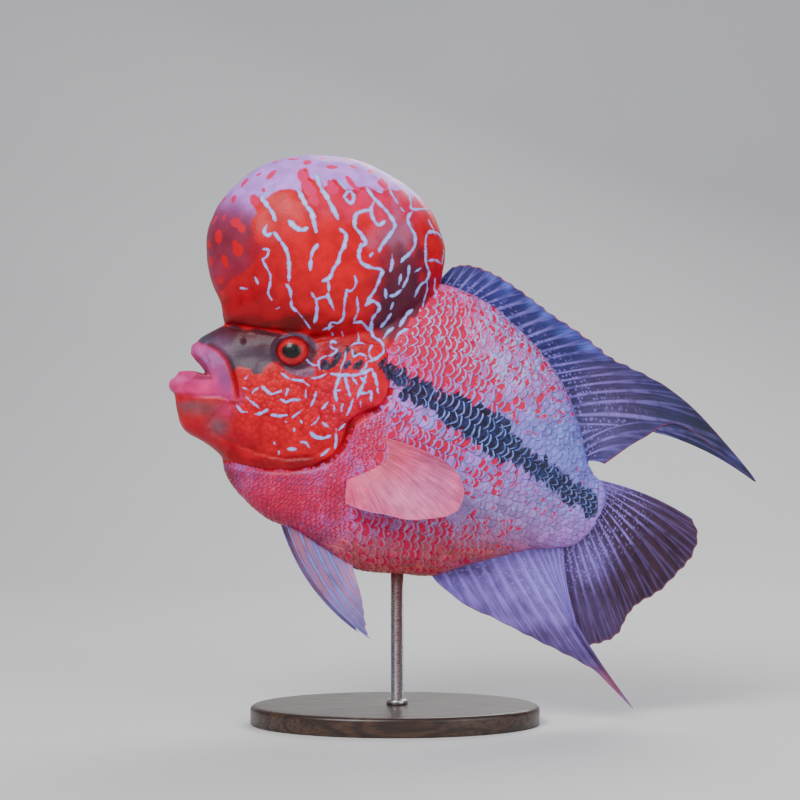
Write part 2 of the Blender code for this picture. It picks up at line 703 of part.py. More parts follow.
# Fins in the middle plane.
height, waves, phase = DORSAL_RIPPLE
dorsal = fan(
    "dorsal_fin", edge_of_trunk(DORSAL_ROOT, True),
    line(DORSAL_TIPS, lambda u: height * math.sin(2 * math.pi * waves * u + phase)), DORSAL_RAYS, 7,
    lambda u: 0.03 + 0.16 * smooth((u - 0.55) / 0.3), DORSAL_HALVES,
    lambda u: DORSAL_NOTCH * (1 - smooth((u - DORSAL_SPINES) / 0.1)),
)
kept(boolean(dorsal, "DIFFERENCE", [hump("hump_room", 1.5 * GAP)]))
kept(fan(
    "anal_fin", edge_of_trunk(ANAL_ROOT, False), line(ANAL_TIPS, lambda u: -1.5 - 3.5 * u), ANAL_RAYS, 6,
    lambda u: -0.02 - 0.08 * u, ANAL_HALVES, same(0.02),
))
tail = fan(
    "tail_fin", line(TAIL_ROOT, same(0.0)), line(TAIL_TIPS, lambda u: 2.0 * math.sin(3.0 * u) + 4.0 * u),
    TAIL_RAYS, 6, lambda u: 0.09 - 0.13 * u, TAIL_HALVES, same(0.015), TAIL_INTO,
)
kept(boolean(tail, "DIFFERENCE", [trunk_solid("stalk_room", GAP)]))

# Paired fins.
for s, word in ((-1, "left"), (1, "right")):
    pectoral = fan(
        f"pectoral_fin_{word}", line(PECTORAL_ROOT, rows_of_y(PECTORAL_ROOT_Y, s)),
        line(PECTORAL_TIPS, rows_of_y(PECTORAL_TIPS_Y, s)), PECTORAL_RAYS, 5,
        lambda u: 0.10 - 0.16 * u, PECTORAL_HALVES, same(0.02),
    )
    boolean(pectoral, "DIFFERENCE", [trunk_solid("body_room", GAP)])
    boolean(pectoral, "DIFFERENCE", [gill_plate("cover_room", s, GAP, GILL_PROUD + GAP, GILL_DEPTH + GAP)])
    kept(pectoral)
    ahead = PELVIC_RIGHT_AHEAD if s > 0 else 0.0
    pelvic = fan(
        f"pelvic_fin_{word}", line([(x - ahead, z) for x, z in PELVIC_ROOT], rows_of_y(PELVIC_ROOT_Y, s)),
        line([(x - 2 * ahead, z + 1) for x, z in PELVIC_TIPS], rows_of_y(PELVIC_TIPS_Y, s)), PELVIC_RAYS, 6,
        lambda u: -0.17 + 0.15 * u, PELVIC_HALVES, same(0.03),
    )
    kept(boolean(pelvic, "DIFFERENCE", [trunk_solid("body_room", GAP)]))

# Stand: an oval plate with rounded edges and one rod let into it and into the belly.
bpy.ops.mesh.primitive_cylinder_add(
    vertices=44, radius=BASE_HALF[1] * MM, depth=BASE_HEIGHT * MM, location=(0, 0, BASE_HEIGHT * MM / 2)
)
bpy.context.active_object.scale.x = BASE_HALF[0] / BASE_HALF[1]
plate = added("stand_base")
edge = plate.modifiers.new("edge", "BEVEL")
edge.width = BASE_ROUND * MM
edge.segments = 2
edge.limit_method = "ANGLE"
edge.angle_limit = math.radians(40)
kept(boolean(plate, "DIFFERENCE", [rod("rod_seat", ROD_RADIUS + GAP, ROD_FOOT - GAP, 60)]))
kept(rod("stand_rod", ROD_RADIUS, ROD_FOOT, ROD_TOP))

for mass in (trunk, head_mass):
    bpy.data.objects.remove(mass, do_unlink=True)
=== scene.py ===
"""Flowerhorn cichlid on its display stand: the looks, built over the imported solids."""

import math
import random

import bmesh
import bpy
import numpy as np
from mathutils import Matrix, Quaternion, Vector
from mathutils.bvhtree import BVHTree
from mathutils.kdtree import KDTree


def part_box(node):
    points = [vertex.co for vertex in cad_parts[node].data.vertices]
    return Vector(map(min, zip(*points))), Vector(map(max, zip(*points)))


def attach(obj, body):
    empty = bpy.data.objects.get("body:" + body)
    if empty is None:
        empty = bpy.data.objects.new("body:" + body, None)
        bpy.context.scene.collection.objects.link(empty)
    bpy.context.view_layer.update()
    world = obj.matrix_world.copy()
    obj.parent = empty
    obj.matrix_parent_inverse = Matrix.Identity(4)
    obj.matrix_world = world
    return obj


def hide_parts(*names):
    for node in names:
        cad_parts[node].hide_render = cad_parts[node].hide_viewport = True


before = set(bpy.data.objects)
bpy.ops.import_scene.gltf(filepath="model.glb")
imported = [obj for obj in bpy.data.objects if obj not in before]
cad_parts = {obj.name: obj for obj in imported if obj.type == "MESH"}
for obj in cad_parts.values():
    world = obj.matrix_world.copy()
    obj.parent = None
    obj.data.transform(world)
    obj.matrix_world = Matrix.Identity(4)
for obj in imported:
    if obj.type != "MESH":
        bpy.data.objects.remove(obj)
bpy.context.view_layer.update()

MM = 0.001
VOXEL = 0.55
# Millimetres to a drawing unit, the camera's distance, and its x and z.
DRAW = 0.47
EYE_Y = 1044.4
LOOK = (2.35, 152.0)

# The same masses as the solids, in millimetres. Sections of trunk and head give the back's x and z,
# the belly's x and z, and the half width. The anal fin's root ends a little further back than the solid's.
TRUNK = [
    (-49.3, 190.5, -81.3, 123.3, 18.0), (-32.9, 197.1, -79.0, 115.3, 20.4),
    (-15.5, 202.3, -72.4, 106.4, 22.0), (2.3, 205.6, -60.6, 96.1, 23.4),
    (19.7, 207.0, -48.4, 90.9, 24.2), (32.9, 203.2, -32.9, 80.6, 24.4),
    (45.6, 196.7, -17.9, 72.1, 24.0), (62.5, 181.6, 2.3, 70.2, 22.4), (73.3, 168.9, 17.4, 69.3, 20.2),
    (81.3, 155.8, 32.4, 74.0, 17.4), (86.9, 140.2, 48.4, 78.2, 14.0), (90.2, 126.2, 62.5, 81.5, 10.4),
    (93.1, 118.6, 71.0, 82.0, 8.4), (97.8, 113.5, 78.5, 82.4, 6.4), (99.6, 108.8, 85.1, 83.9, 4.6),
    (99.8, 103.6, 91.6, 89.5, 2.8),
]
TRUNK_EGG = 0.10
HEAD = [
    (-94.6, 176.0, -105.2, 158.5, 6.5), (-91.6, 181.1, -103.4, 152.5, 10.0),
    (-86.0, 184.4, -102.4, 145.8, 12.6), (-79.9, 187.7, -99.0, 137.4, 14.8),
    (-70.5, 192.4, -88.8, 131.2, 17.2), (-56.4, 197.1, -80.8, 124.0, 19.8),
    (-35.2, 202.3, -72.0, 108.0, 21.8), (-9.4, 205.6, -52.0, 93.0, 23.2),
    (17.4, 206.5, -26.0, 78.0, 23.8),
]
HEAD_EGG = 0.06
HEAD_SIDE = [
    (-118.0, 186.0), (-96.3, 204.0), (-44.6, 216.0), (17.4, 216.0), (17.4, 205.6), (10.8, 197.6),
    (2.3, 186.8), (-5.2, 177.4), (-3.8, 168.0), (-3.9, 159.1), (-6.8, 152.5), (-11.0, 149.4),
    (-17.5, 146.8), (-22.7, 142.2), (-25.0, 136.0), (-27.4, 130.6), (-32.5, 125.8), (-41.0, 122.4),
    (-49.3, 121.0), (-62.5, 121.2), (-72.8, 123.4), (-80.4, 124.7), (-89.3, 117.0), (-118.0, 128.0),
]
MOUTH_SIDE = [
    (-118.0, 187.0), (-97.8, 176.4), (-93.4, 171.0), (-88.8, 166.6), (-83.0, 162.6), (-89.3, 164.2),
    (-94.6, 165.6), (-118.0, 165.2),
]
UPPER_LIP = [
    (-76.8, 12.6, 154.4), (-81.0, 12.9, 160.4), (-85.6, 11.6, 167.2), (-89.8, 8.6, 172.8),
    (-92.2, 4.6, 175.4), (-92.8, 0.0, 176.0),
]
LOWER_LIP = [
    (-78.4, 11.9, 154.0), (-84.6, 11.8, 157.0), (-91.6, 10.4, 159.8), (-97.8, 7.2, 160.4),
    (-101.4, 3.8, 159.4), (-102.4, 0.0, 158.9),
]
UPPER_LIP_RADII = (2.6, 3.8, 3.1)
LOWER_LIP_RADII = (2.4, 3.9, 4.1)
HUMP = [
    (-79.4, 186.5), (-82.0, 197.6), (-86.2, 207.5), (-88.8, 220.2), (-88.4, 231.0), (-84.6, 240.8),
    (-78.0, 250.2), (-69.1, 258.7), (-57.8, 264.3), (-44.6, 267.1), (-30.5, 267.1), (-16.4, 264.3),
    (-3.3, 258.7), (8.0, 251.2), (16.4, 242.2), (21.6, 231.9), (24.0, 222.5), (22.8, 213.1),
    (20.2, 204.5), (14.1, 192.4), (0.0, 180.2), (-21.1, 173.7), (-44.6, 173.9), (-65.8, 178.0),
]
HUMP_MIDDLE = (-34.0, 217.0)
HUMP_HALF = 32.0
GILL_SIDE = [
    (-30.5, 175.5), (-18.0, 178.6), (-5.2, 177.4), (-2.4, 168.0), (-1.9, 159.1), (-3.8, 152.5),
    (-8.0, 148.2), (-15.5, 145.4), (-20.7, 141.7), (-22.6, 136.0), (-25.4, 129.9), (-30.5, 124.7),
    (-39.0, 121.5), (-37.2, 131.2), (-35.8, 141.0), (-35.6, 152.0), (-34.6, 165.0),
]
LID_HALF = (8.8, 7.5)
LID_THICK = (1.4, 1.9)
DORSAL_ROOT = (4.0, 11.35)
DORSAL_TIPS = [
    (27.0, 214.6), (33.5, 215.8), (42.0, 213.8), (50.0, 209.8), (58.8, 204.1), (67.0, 197.8),
    (75.5, 191.4), (85.5, 185.0), (95.0, 178.0), (104.0, 171.2), (117.0, 165.2), (132.0, 156.4),
    (148.6, 141.8), (173.2, 112.6), (137.0, 139.8), (117.0, 133.6), (98.8, 121.8),
]
ANAL_ROOT = (8.0, 13.1)
ANAL_TIPS = [
    (21.1, 65.1), (33.5, 55.4), (46.0, 49.6), (58.8, 43.0), (70.5, 37.0), (82.8, 30.8), (95.8, 22.8),
    (112.4, 6.2), (99.0, 24.6), (91.4, 34.4), (86.4, 43.4), (84.4, 50.0),
]
TAIL_ROOT = [
    (98.6, 113.8), (101.0, 108.6), (100.8, 102.6), (97.4, 95.4), (92.0, 88.6), (85.0, 83.2),
    (78.9, 81.7),
]
TAIL_TIPS = [
    (141.4, 95.4), (144.2, 89.6), (144.2, 83.6), (141.5, 77.0), (137.8, 72.4), (132.8, 67.4),
    (127.2, 61.8), (121.8, 58.2), (116.0, 55.2), (112.2, 51.6), (109.0, 46.4), (106.6, 41.6),
    (102.4, 38.2), (97.0, 36.4), (91.8, 35.8), (86.2, 38.8),
]
PECTORAL_ROOT = [(-19.0, 137.0), (-19.6, 130.0), (-21.4, 119.0)]
PECTORAL_TIPS = [
    (24.0, 123.6), (29.0, 118.0), (31.5, 110.6), (29.6, 102.9), (25.0, 99.6), (20.0, 98.4),
    (14.0, 97.6), (8.0, 97.4), (2.0, 98.2), (-4.0, 99.6), (-10.4, 100.8), (-16.4, 102.4),
    (-22.6, 105.0),
]
PELVIC_ROOT = [(-51.0, 93.0), (-36.0, 86.0), (-21.0, 77.5)]
PELVIC_TIPS = [(-11.0, 39.8), (-12.4, 42.6), (-13.4, 47.0), (-14.2, 52.4), (-15.0, 57.4), (-16.4, 62.6)]
SWAY_FROM = 25.0
SWAY = 0.00095

# Colours by name, as the share of light that the surface returns.
PALETTE = {
    # The two darker reds after the first on the next line are painted shade.
    "red": (0.577, 0.0, 0.009), "shaded red": (0.338, 0.0, 0.008), "brow shadow red": (0.116, 0.004, 0.004),
    # On the next line, the lavender for the hump's top is partly its own colour and partly a painted
    # sheen.
    "pink": (0.753, 0.021, 0.152), "lavender top sheen": (0.55, 0.24, 0.86), "mauve": (0.36, 0.10, 0.22),
    "dusky": (0.199, 0.019, 0.039), "maroon": (0.068, 0.011, 0.032), "snout": (0.070, 0.036, 0.060),
    "snout brown": (0.085, 0.008, 0.014), "snout lilac": (0.15, 0.06, 0.14),
    # On the next line, the mouth's dark red is partly painted shade inside the mouth.
    "lip": (0.588, 0.030, 0.180), "lip pale": (0.62, 0.12, 0.38), "mouth": (0.152, 0.007, 0.013),
    "cheek": (0.577, 0.0, 0.011), "chin": (0.25, 0.052, 0.067), "chin grey": (0.20, 0.07, 0.10),
    # On the next line, the membrane's dark red is partly painted shade in the crease of the gill cover.
    "throat": (0.442, 0.0, 0.018), "membrane": (0.259, 0.002, 0.008), "breast": (0.577, 0.01, 0.062),
    "breast edge": (0.259, 0.006, 0.014), "belly": (0.442, 0.07, 0.09), "orange": (0.521, 0.085, 0.053),
    "flank": (0.434, 0.192, 0.734), "flank pink": (0.753, 0.12, 0.30), "rear": (0.16, 0.16, 0.60),
    "black": (0.009, 0.011, 0.024), "gill": (0.577, 0.0, 0.031), "nape": (0.70, 0.01, 0.09),
    # On the next line, the dark red for creases is painted shade.
    "grey blue": (0.085, 0.080, 0.150), "fold shadow": (0.199, 0.004, 0.011), "eye patch": (0.20, 0.07, 0.14),
    "worm mark": (0.577, 0.004, 0.06), "royal": (0.028, 0.030, 0.20), "dorsal": (0.032, 0.032, 0.15),
    "soft": (0.060, 0.038, 0.115), "filament": (0.011, 0.011, 0.034), "tail in": (0.062, 0.030, 0.080),
    "tail out": (0.034, 0.013, 0.026), "anal": (0.216, 0.142, 0.547), "anal out": (0.070, 0.040, 0.115),
    "pelvic": (0.14, 0.12, 0.34), "pectoral": (0.70, 0.075, 0.19), "ray": (0.30, 0.22, 0.80),
    "edge red": (0.259, 0.038, 0.055), "iris": (0.577, 0.0, 0.008), "iris dark": (0.146, 0.005, 0.009),
    "pupil": (0.004, 0.004, 0.005), "sky": (0.10, 0.14, 0.62), "soft lit": (0.11, 0.08, 0.24),
    "tail web": (0.028, 0.012, 0.024), "orange brown": (0.25, 0.05, 0.035),
    "pectoral warm": (0.62, 0.10, 0.12), "pectoral lilac": (0.60, 0.15, 0.34),
    "pelvic brown": (0.24, 0.07, 0.10), "pelvic pink": (0.50, 0.20, 0.36),
    "pelvic blue": (0.19, 0.23, 0.68), "wood": (0.060, 0.028, 0.015),
    "wood dark": (0.026, 0.011, 0.006), "wood pore": (0.010, 0.005, 0.003), "steel": (0.62, 0.62, 0.63),
    "steel dark": (0.42, 0.42, 0.44), "floor": (0.62, 0.62, 0.63), "floor lit": (0.66, 0.66, 0.67),
    "line blue": (0.26, 0.35, 0.92), "line white": (0.56, 0.67, 0.98), "navy": (0.016, 0.030, 0.11),
    "rim blue": (0.22, 0.31, 0.84), "rim white": (0.38, 0.50, 0.97), "rim lavender": (0.36, 0.27, 0.60),
    "rim pink": (0.62, 0.10, 0.24), "rim rose": (0.42, 0.14, 0.17), "lip mauve": (0.25, 0.055, 0.22),
    "flank low": (0.26, 0.16, 0.34), "flank up": (0.46, 0.15, 0.50),
    "crown front": (0.27, 0.035, 0.085), "lid": (0.045, 0.014, 0.026),
}
LIP_TINTS = [
    ("lip mauve", 210, 358, 22, 16, 0.9), ("lip mauve", 226, 378, 9, 16, 0.85),
    ("lip pale", 199, 350, 12, 6, 0.5), ("lip pale", 178, 379, 10, 4, 0.5),
    ("pink", 196, 389, 20, 5, 0.5), ("throat", 184, 395, 16, 3, 0.7),
]


def smooth(x, a=0.0, b=1.0):
    t = np.clip((np.asarray(x, float) - a) / (b - a), 0, 1)
    return t * t * (3 - 2 * t)


def sway(x):
    return SWAY * np.maximum(0.0, x - SWAY_FROM) ** 2


def along(rows, t, closed=False):
    """Points of the smooth curve through the rows at t, counted in rows."""
    rows = np.asarray(rows, float)
    t = np.atleast_1d(np.asarray(t, float))
    n = len(rows)
    if closed:
        i = np.floor(t).astype(int)
        f = (t - i)[:, None]
        a, b, c, d = (rows[(i + k) % n] for k in (-1, 0, 1, 2))
    else:
        i = np.clip(np.floor(t).astype(int), 0, n - 2)
        f = (t - i)[:, None]
        full = np.vstack([2 * rows[0] - rows[1], rows, 2 * rows[-1] - rows[-2]])
        a, b, c, d = full[i], full[i + 1], full[i + 2], full[i + 3]
    return b + 0.5 * f * (c - a + f * (2 * a - 5 * b + 4 * c - d + f * (3 * (b - c) + d - a)))


def make(name, points, faces, millimetres=True):
    mesh = bpy.data.meshes.new(name)
    points = np.asarray(points, float) * (MM if millimetres else 1)
    faces = np.asarray(faces, int)
    mesh.vertices.add(len(points))
    mesh.vertices.foreach_set("co", points.astype(np.float32).ravel())
    sides = faces.shape[1]
    mesh.loops.add(faces.size)
    mesh.loops.foreach_set("vertex_index", faces.astype(np.int32).ravel())
    mesh.polygons.add(len(faces))
    mesh.polygons.foreach_set("loop_start", np.arange(0, faces.size, sides, dtype=np.int32))
    mesh.update(calc_edges=True)
    mesh.validate()
    mesh.shade_smooth()
    obj = bpy.data.objects.new(name, mesh)
    bpy.context.scene.collection.objects.link(obj)
    return obj


def face_out(obj):
    work = bmesh.new()
    work.from_mesh(obj.data)
    bmesh.ops.recalc_face_normals(work, faces=work.faces)
    work.to_mesh(obj.data)
    work.free()
    return obj


def wrapped(rows, around, first=None, last=None):
    """Triangles of rings joined in order, with fans to the points numbered first and last."""
    i, j = np.meshgrid(np.arange(rows - 1), np.arange(around), indexing="ij")
    k = (j + 1) % around
    a, b, c, d = i * around + j, i * around + k, (i + 1) * around + k, (i + 1) * around + j
    faces = [np.stack([a, b, c], -1).reshape(-1, 3), np.stack([a, c, d], -1).reshape(-1, 3)]
    j = np.arange(around)
    k = (j + 1) % around
    if first is not None:
        faces.append(np.stack([np.full(around, first), k, j], -1))
    if last is not None:
        base = (rows - 1) * around
        faces.append(np.stack([np.full(around, last), base + j, base + k], -1))
    return np.vstack(faces)


def section_points(rows, t, theta, egg, inset, swayed=True):
    """Points of the oval sections at stations t and angles theta."""
    r = along(rows, t)
    zero = np.zeros(len(r))
    mid = np.stack([(r[:, 0] + r[:, 2]) / 2, zero, (r[:, 1] + r[:, 3]) / 2], 1)
    up = np.stack([(r[:, 0] - r[:, 2]) / 2, zero, (r[:, 1] - r[:, 3]) / 2], 1)
    up *= (1 - inset / np.linalg.norm(up, axis=1))[:, None]
    c, k = np.cos(theta), np.sin(theta)
    full = 2 / 2.15
    side, rise = np.sign(c) * np.abs(c) ** full, np.sign(k) * np.abs(k) ** full
    points = mid[:, None] + up[:, None] * rise[None, :, None]
    points[..., 1] += (r[:, 4] - inset)[:, None] * side * (1 - egg * k)
    if swayed:
        points[..., 1] += sway(points[..., 0])
    return points


def ladder(name, rows, steps, around, egg, inset):
    t = np.linspace(0, len(rows) - 1, steps + 1)
    grid = section_points(rows, t, np.arange(around) * 2 * math.pi / around, egg, inset)
    flat = grid.reshape(-1, 3)
    points = np.vstack([flat, grid[0].mean(0), grid[-1].mean(0)])
    return face_out(make(name, points, wrapped(steps + 1, around, len(flat), len(flat) + 1)))


def hump(name, inset):
    around, rings = 120, 40
    outline = along(HUMP, np.arange(around) * len(HUMP) / around, closed=True)
    mid = np.array(HUMP_MIDDLE)
    angle = np.linspace(-math.pi / 2, math.pi / 2, 2 * rings + 1)[1:-1]
    rho = np.cos(angle)
    half = np.sign(angle) * (HUMP_HALF - inset) * np.sqrt(np.maximum(0, 1 - rho**2.2))
    shrink = 1 - inset / 50.0
    points = []
    for r, y in zip(rho, half):
        flat = mid + (outline - mid) * r * shrink
        points.append(np.stack([flat[:, 0], np.full(around, y), flat[:, 1]], 1))
    reach = HUMP_HALF - inset
    points = np.vstack(points + [[(mid[0], -reach, mid[1]), (mid[0], reach, mid[1])]])
    n = len(points) - 2
    return face_out(make(name, points, wrapped(len(rho), around, n, n + 1)))


def tube(name, path, radii, steps, around):
    """A bar of changing thickness along a path, radii given as a function of 0 to 1."""
    t = np.linspace(0, len(path) - 1, steps + 1)
    centres = along(path, t)
    ahead = np.gradient(centres, axis=0)
    ahead /= np.linalg.norm(ahead, axis=1, keepdims=True)
    side = np.cross(ahead, (0, 0, 1.0))
    side /= np.linalg.norm(side, axis=1, keepdims=True)
    up = np.cross(side, ahead)
    r = np.array([radii(k) for k in np.linspace(0, 1, steps + 1)])[:, None, None]
    a = np.arange(around) * 2 * math.pi / around
    ring = np.cos(a)[None, :, None] * side[:, None] + np.sin(a)[None, :, None] * up[:, None]
    points = centres[:, None] + r * ring
    n = (steps + 1) * around
    points = np.vstack([points.reshape(-1, 3), centres[0], centres[-1]])
    return face_out(make(name, points, wrapped(steps + 1, around, n, n + 1)))


def lip(name, path, radii, inset):
    whole = [np.array(p) for p in path]
    whole += [p * (1, -1, 1) for p in whole[-2::-1]]

    def thick(k):
        return float(along([[r] for r in radii], 2 * (1 - abs(2 * k - 1)))[0, 0]) - inset

    return tube(name, whole, thick, 60, 24)


def prism(name, outline, y0, y1):
    work = bmesh.new()
    flat = work.faces.new([work.verts.new((x * MM, y0 * MM, z * MM)) for x, z in outline])
    made = bmesh.ops.extrude_face_region(work, geom=[flat])["geom"]
    far_side = [v for v in made if isinstance(v, bmesh.types.BMVert)]
    bmesh.ops.translate(work, vec=(0, (y1 - y0) * MM, 0), verts=far_side)
    bmesh.ops.recalc_face_normals(work, faces=work.faces)
    mesh = bpy.data.meshes.new(name)
    work.to_mesh(mesh)
    work.free()
    obj = bpy.data.objects.new(name, mesh)
    bpy.context.scene.collection.objects.link(obj)
    return obj


def applied(obj):
    """Gives the object its mesh as its modifiers leave it."""
    bpy.context.view_layer.update()
    mesh = bpy.data.meshes.new_from_object(obj.evaluated_get(bpy.context.evaluated_depsgraph_get()))
    obj.modifiers.clear()
    obj.data = mesh
    return obj


def boolean(obj, operation, other):
    change = obj.modifiers.new(operation, "BOOLEAN")
    change.operation = operation
    change.object = other
    change.solver = "EXACT"
    applied(obj)
    bpy.data.objects.remove(other, do_unlink=True)
    return obj


def eyelid(name, centre, side):
    """An oval roll of skin round the eye, thicker above and below."""
    turn = np.arange(72) * 2 * math.pi / 72
    round_it = np.arange(18) * 2 * math.pi / 18
    thick = LID_THICK[0] + (LID_THICK[1] - LID_THICK[0]) * np.abs(np.sin(turn))[:, None]
    out = thick * np.cos(round_it)[None]
    x = (LID_HALF[0] + out) * np.cos(turn)[:, None]
    z = (LID_HALF[1] + out) * np.sin(turn)[:, None]
    y = side * 1.1 * thick * np.sin(round_it)[None]
    points = np.stack([x, y, z], -1).reshape(-1, 3) + centre
    i, j = [g.ravel() for g in np.meshgrid(np.arange(72), np.arange(18), indexing="ij")]
    i2, j2 = (i + 1) % 72, (j + 1) % 18
    faces = np.stack([i * 18 + j, i2 * 18 + j, i2 * 18 + j2, i * 18 + j2], 1)
    return face_out(make(name, points, faces))


def box_middle(node):
    lo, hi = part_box(node)
    return np.array((lo + hi) / 2) / MM


# The skin
INSET = 0.3
eyes = {-1: box_middle("eye_left"), 1: box_middle("eye_right")}
pieces = [ladder("trunk", TRUNK, 120, 120, TRUNK_EGG, INSET + 0.15)]
head = ladder("head_mass", HEAD, 60, 96, HEAD_EGG, INSET)
boolean(head, "INTERSECT", prism("side", HEAD_SIDE, -60, 60))
boolean(head, "DIFFERENCE", prism("mouth", MOUTH_SIDE, -60, 60))
pieces += [head, hump("hump_mass", INSET)]
pieces.append(lip("upper", UPPER_LIP, UPPER_LIP_RADII, 0.2))
pieces.append(lip("lower", LOWER_LIP, LOWER_LIP_RADII, 0.2))
for s in (-1, 1):
    pieces.append(eyelid(f"lid_{s}", eyes[s] + (0, s * 3.3, 0), s))
bpy.ops.object.select_all(action="DESELECT")
for piece in pieces:
    piece.select_set(True)
bpy.context.view_layer.objects.active = pieces[0]
bpy.ops.object.join()
skin = pieces[0]
skin.name = "skin"
change = skin.modifiers.new("remesh", "REMESH")
change.mode = "VOXEL"
change.voxel_size = VOXEL * MM
applied(skin)
change = skin.modifiers.new("ease", "SMOOTH")
change.factor = 0.5
change.iterations = 5
applied(skin)


def points_of(obj):
    flat = np.empty(len(obj.data.vertices) * 3, np.float32)
    obj.data.vertices.foreach_get("co", flat)
    return flat.reshape(-1, 3).astype(float) / MM


def normals_of(obj):
    flat = np.empty(len(obj.data.vertices) * 3, np.float32)
    obj.data.vertex_normals.foreach_get("vector", flat)
    return flat.reshape(-1, 3).astype(float)


def drawn(points):
    """Drawing units of the side view, u towards the tail and v down, the same for both sides."""
    f = EYE_Y / (EYE_Y - np.abs(points[:, 1] - sway(points[:, 0])))
    return 400 + (points[:, 0] - LOOK[0]) * f / DRAW, 400 - (points[:, 2] - LOOK[1]) * f / DRAW


def from_line(u, v, path, limit=40.0):
    """Distance in drawing units to a path, and 1e3 where it is further than the limit."""
    path = np.asarray(path, float)
    out = np.full(len(u), 1e3)
    near = (u > path[:, 0].min() - limit) & (u < path[:, 0].max() + limit)
    near &= (v > path[:, 1].min() - limit) & (v < path[:, 1].max() + limit)
    p = np.stack([u[near], v[near]], 1)
    best = np.full(len(p), 1e3)
    for a, b in zip(path[:-1], path[1:]):
        ab = b - a
        t = np.clip(((p - a) @ ab) / max(ab @ ab, 1e-9), 0, 1)
        best = np.minimum(best, np.linalg.norm(p - a - t[:, None] * ab, axis=1))
    out[near] = best
    return out


def inside(u, v, outline):
    out = np.zeros(len(u), bool)
    pts = np.asarray(outline, float)
    for (x0, y0), (x1, y1) in zip(pts, np.roll(pts, -1, 0)):
        crosses = (y0 > v) != (y1 > v)
        with np.errstate(divide="ignore", invalid="ignore"):
            out ^= crosses & (u < (x1 - x0) * (v - y0) / (y1 - y0) + x0)
    return out


def side_units(rows):
    return [(395 + x / DRAW, (340 - z) / DRAW) for x, z in rows]


skin_at, skin_out = points_of(skin), normals_of(skin)
u, v = drawn(skin_at)
facing = smooth(np.abs(skin_out[:, 1]), 0.15, 0.6)
move = np.zeros(len(skin_at))

gill = side_units([tuple(p) for p in along(GILL_SIDE, np.arange(68) / 4.0, closed=True)])
to_gill = from_line(u, v, gill + gill[:1]) * DRAW
in_gill = inside(u, v, gill) & (np.abs(skin_at[:, 1]) > 10)
x_mm, z_mm = (u - 395) * DRAW, 340 - v * DRAW
rise = 1.6 * smooth((x_mm + 36) / 16 + (150 - z_mm) / 60)
move += np.where(in_gill, rise * smooth(to_gill, 0.0, 1.3), 0)

LIP_GROOVE = [(208, 344), (219, 350), (227, 359), (232, 371), (235, 384), (238, 397)]
GILL_FOLD = [
    (378, 352), (389, 366), (392, 385), (389, 399), (379, 410), (363, 417), (353, 424), (349, 436),
    (342, 450), (331, 461), (312, 469), (288, 472), (262, 471), (238, 466), (224, 461),
]
# Folds pressed into the skin: depth and width in millimetres and drawing units, then the path.
FOLDS = [
    (0.9, 2.2, LIP_GROOVE), (0.5, 2.0, [(228, 399), (219, 396), (205, 396), (186, 396)]),
    (1.0, 2.6, GILL_FOLD),
    (0.7, 2.4, [(211, 431), (225, 440), (240, 446), (258, 453), (285, 459), (312, 457), (332, 446)]),
    (0.6, 2.0, [(231, 397), (226, 404), (217, 412), (208, 424)]),
    (0.5, 1.8, [(231, 372), (236, 384), (237, 397)]),
    (0.9, 3.0, [(228, 325), (250, 329), (280, 332), (302, 338), (316, 339), (332, 336)]),
    (0.5, 2.4, [(283, 365), (296, 370), (312, 367)]),
    (0.35, 2.0, [(330, 352), (322, 372), (316, 398), (321, 424), (316, 444)]),
]
for depth, width, path in FOLDS:
    d = from_line(u, v, path, 14)
    move -= depth * np.exp(-((d / width) ** 2)) * facing
NOSTRIL = (243, 341.5)
NOSTRIL_DEPTH = 1.3
NOSTRIL_WIDTH = 1.9
# Swellings: height in millimetres, then middle and half widths in drawing units.
BULGES = [
    (1.0, 262, 408, 34, 22), (0.7, 300, 430, 26, 16), (-0.8, 255, 358, 24, 10), (0.6, 228, 418, 12, 14),
    (0.5, 208, 400, 12, 10), (0.7, 250, 332, 20, 5),
]
for height, cu, cv, ru, rv in BULGES:
    move += height * np.exp(-(((u - cu) / ru) ** 2) - (((v - cv) / rv) ** 2)) * facing
from_nostril = np.hypot(u - NOSTRIL[0], v - NOSTRIL[1])
move -= NOSTRIL_DEPTH * np.exp(-((from_nostril / NOSTRIL_WIDTH) ** 2)) * (np.abs(skin_at[:, 1]) > 4)


def waves(points, size, seed):
    """A smooth, fixed unevenness of about -1 to 1, made of a few slanted waves."""
    draw = random.Random(seed)
    total = np.zeros(len(points))
    for _ in range(7):
        d = np.array([draw.gauss(0, 1) for _ in range(3)])
        d *= draw.uniform(0.7, 1.5) / np.linalg.norm(d)
        total += np.sin(points @ d * (2 * math.pi / size) + draw.uniform(0, 6.28))
    return total / 4


on_hump = smooth(skin_at[:, 2], 186, 198)
move += on_hump * (0.35 * waves(skin_at, 26, 3) + 0.12 * waves(skin_at, 9, 4))
move += (1 - on_hump) * 0.10 * waves(skin_at, 8, 5)
skin_points = skin_at + skin_out * move[:, None]
skin.data.vertices.foreach_set("co", (skin_points * MM).astype(np.float32).ravel())
skin.data.update()
bpy.context.view_layer.update()
skin_at, skin_out = points_of(skin), normals_of(skin)
skin_tree = BVHTree.FromObject(skin, bpy.context.evaluated_depsgraph_get())

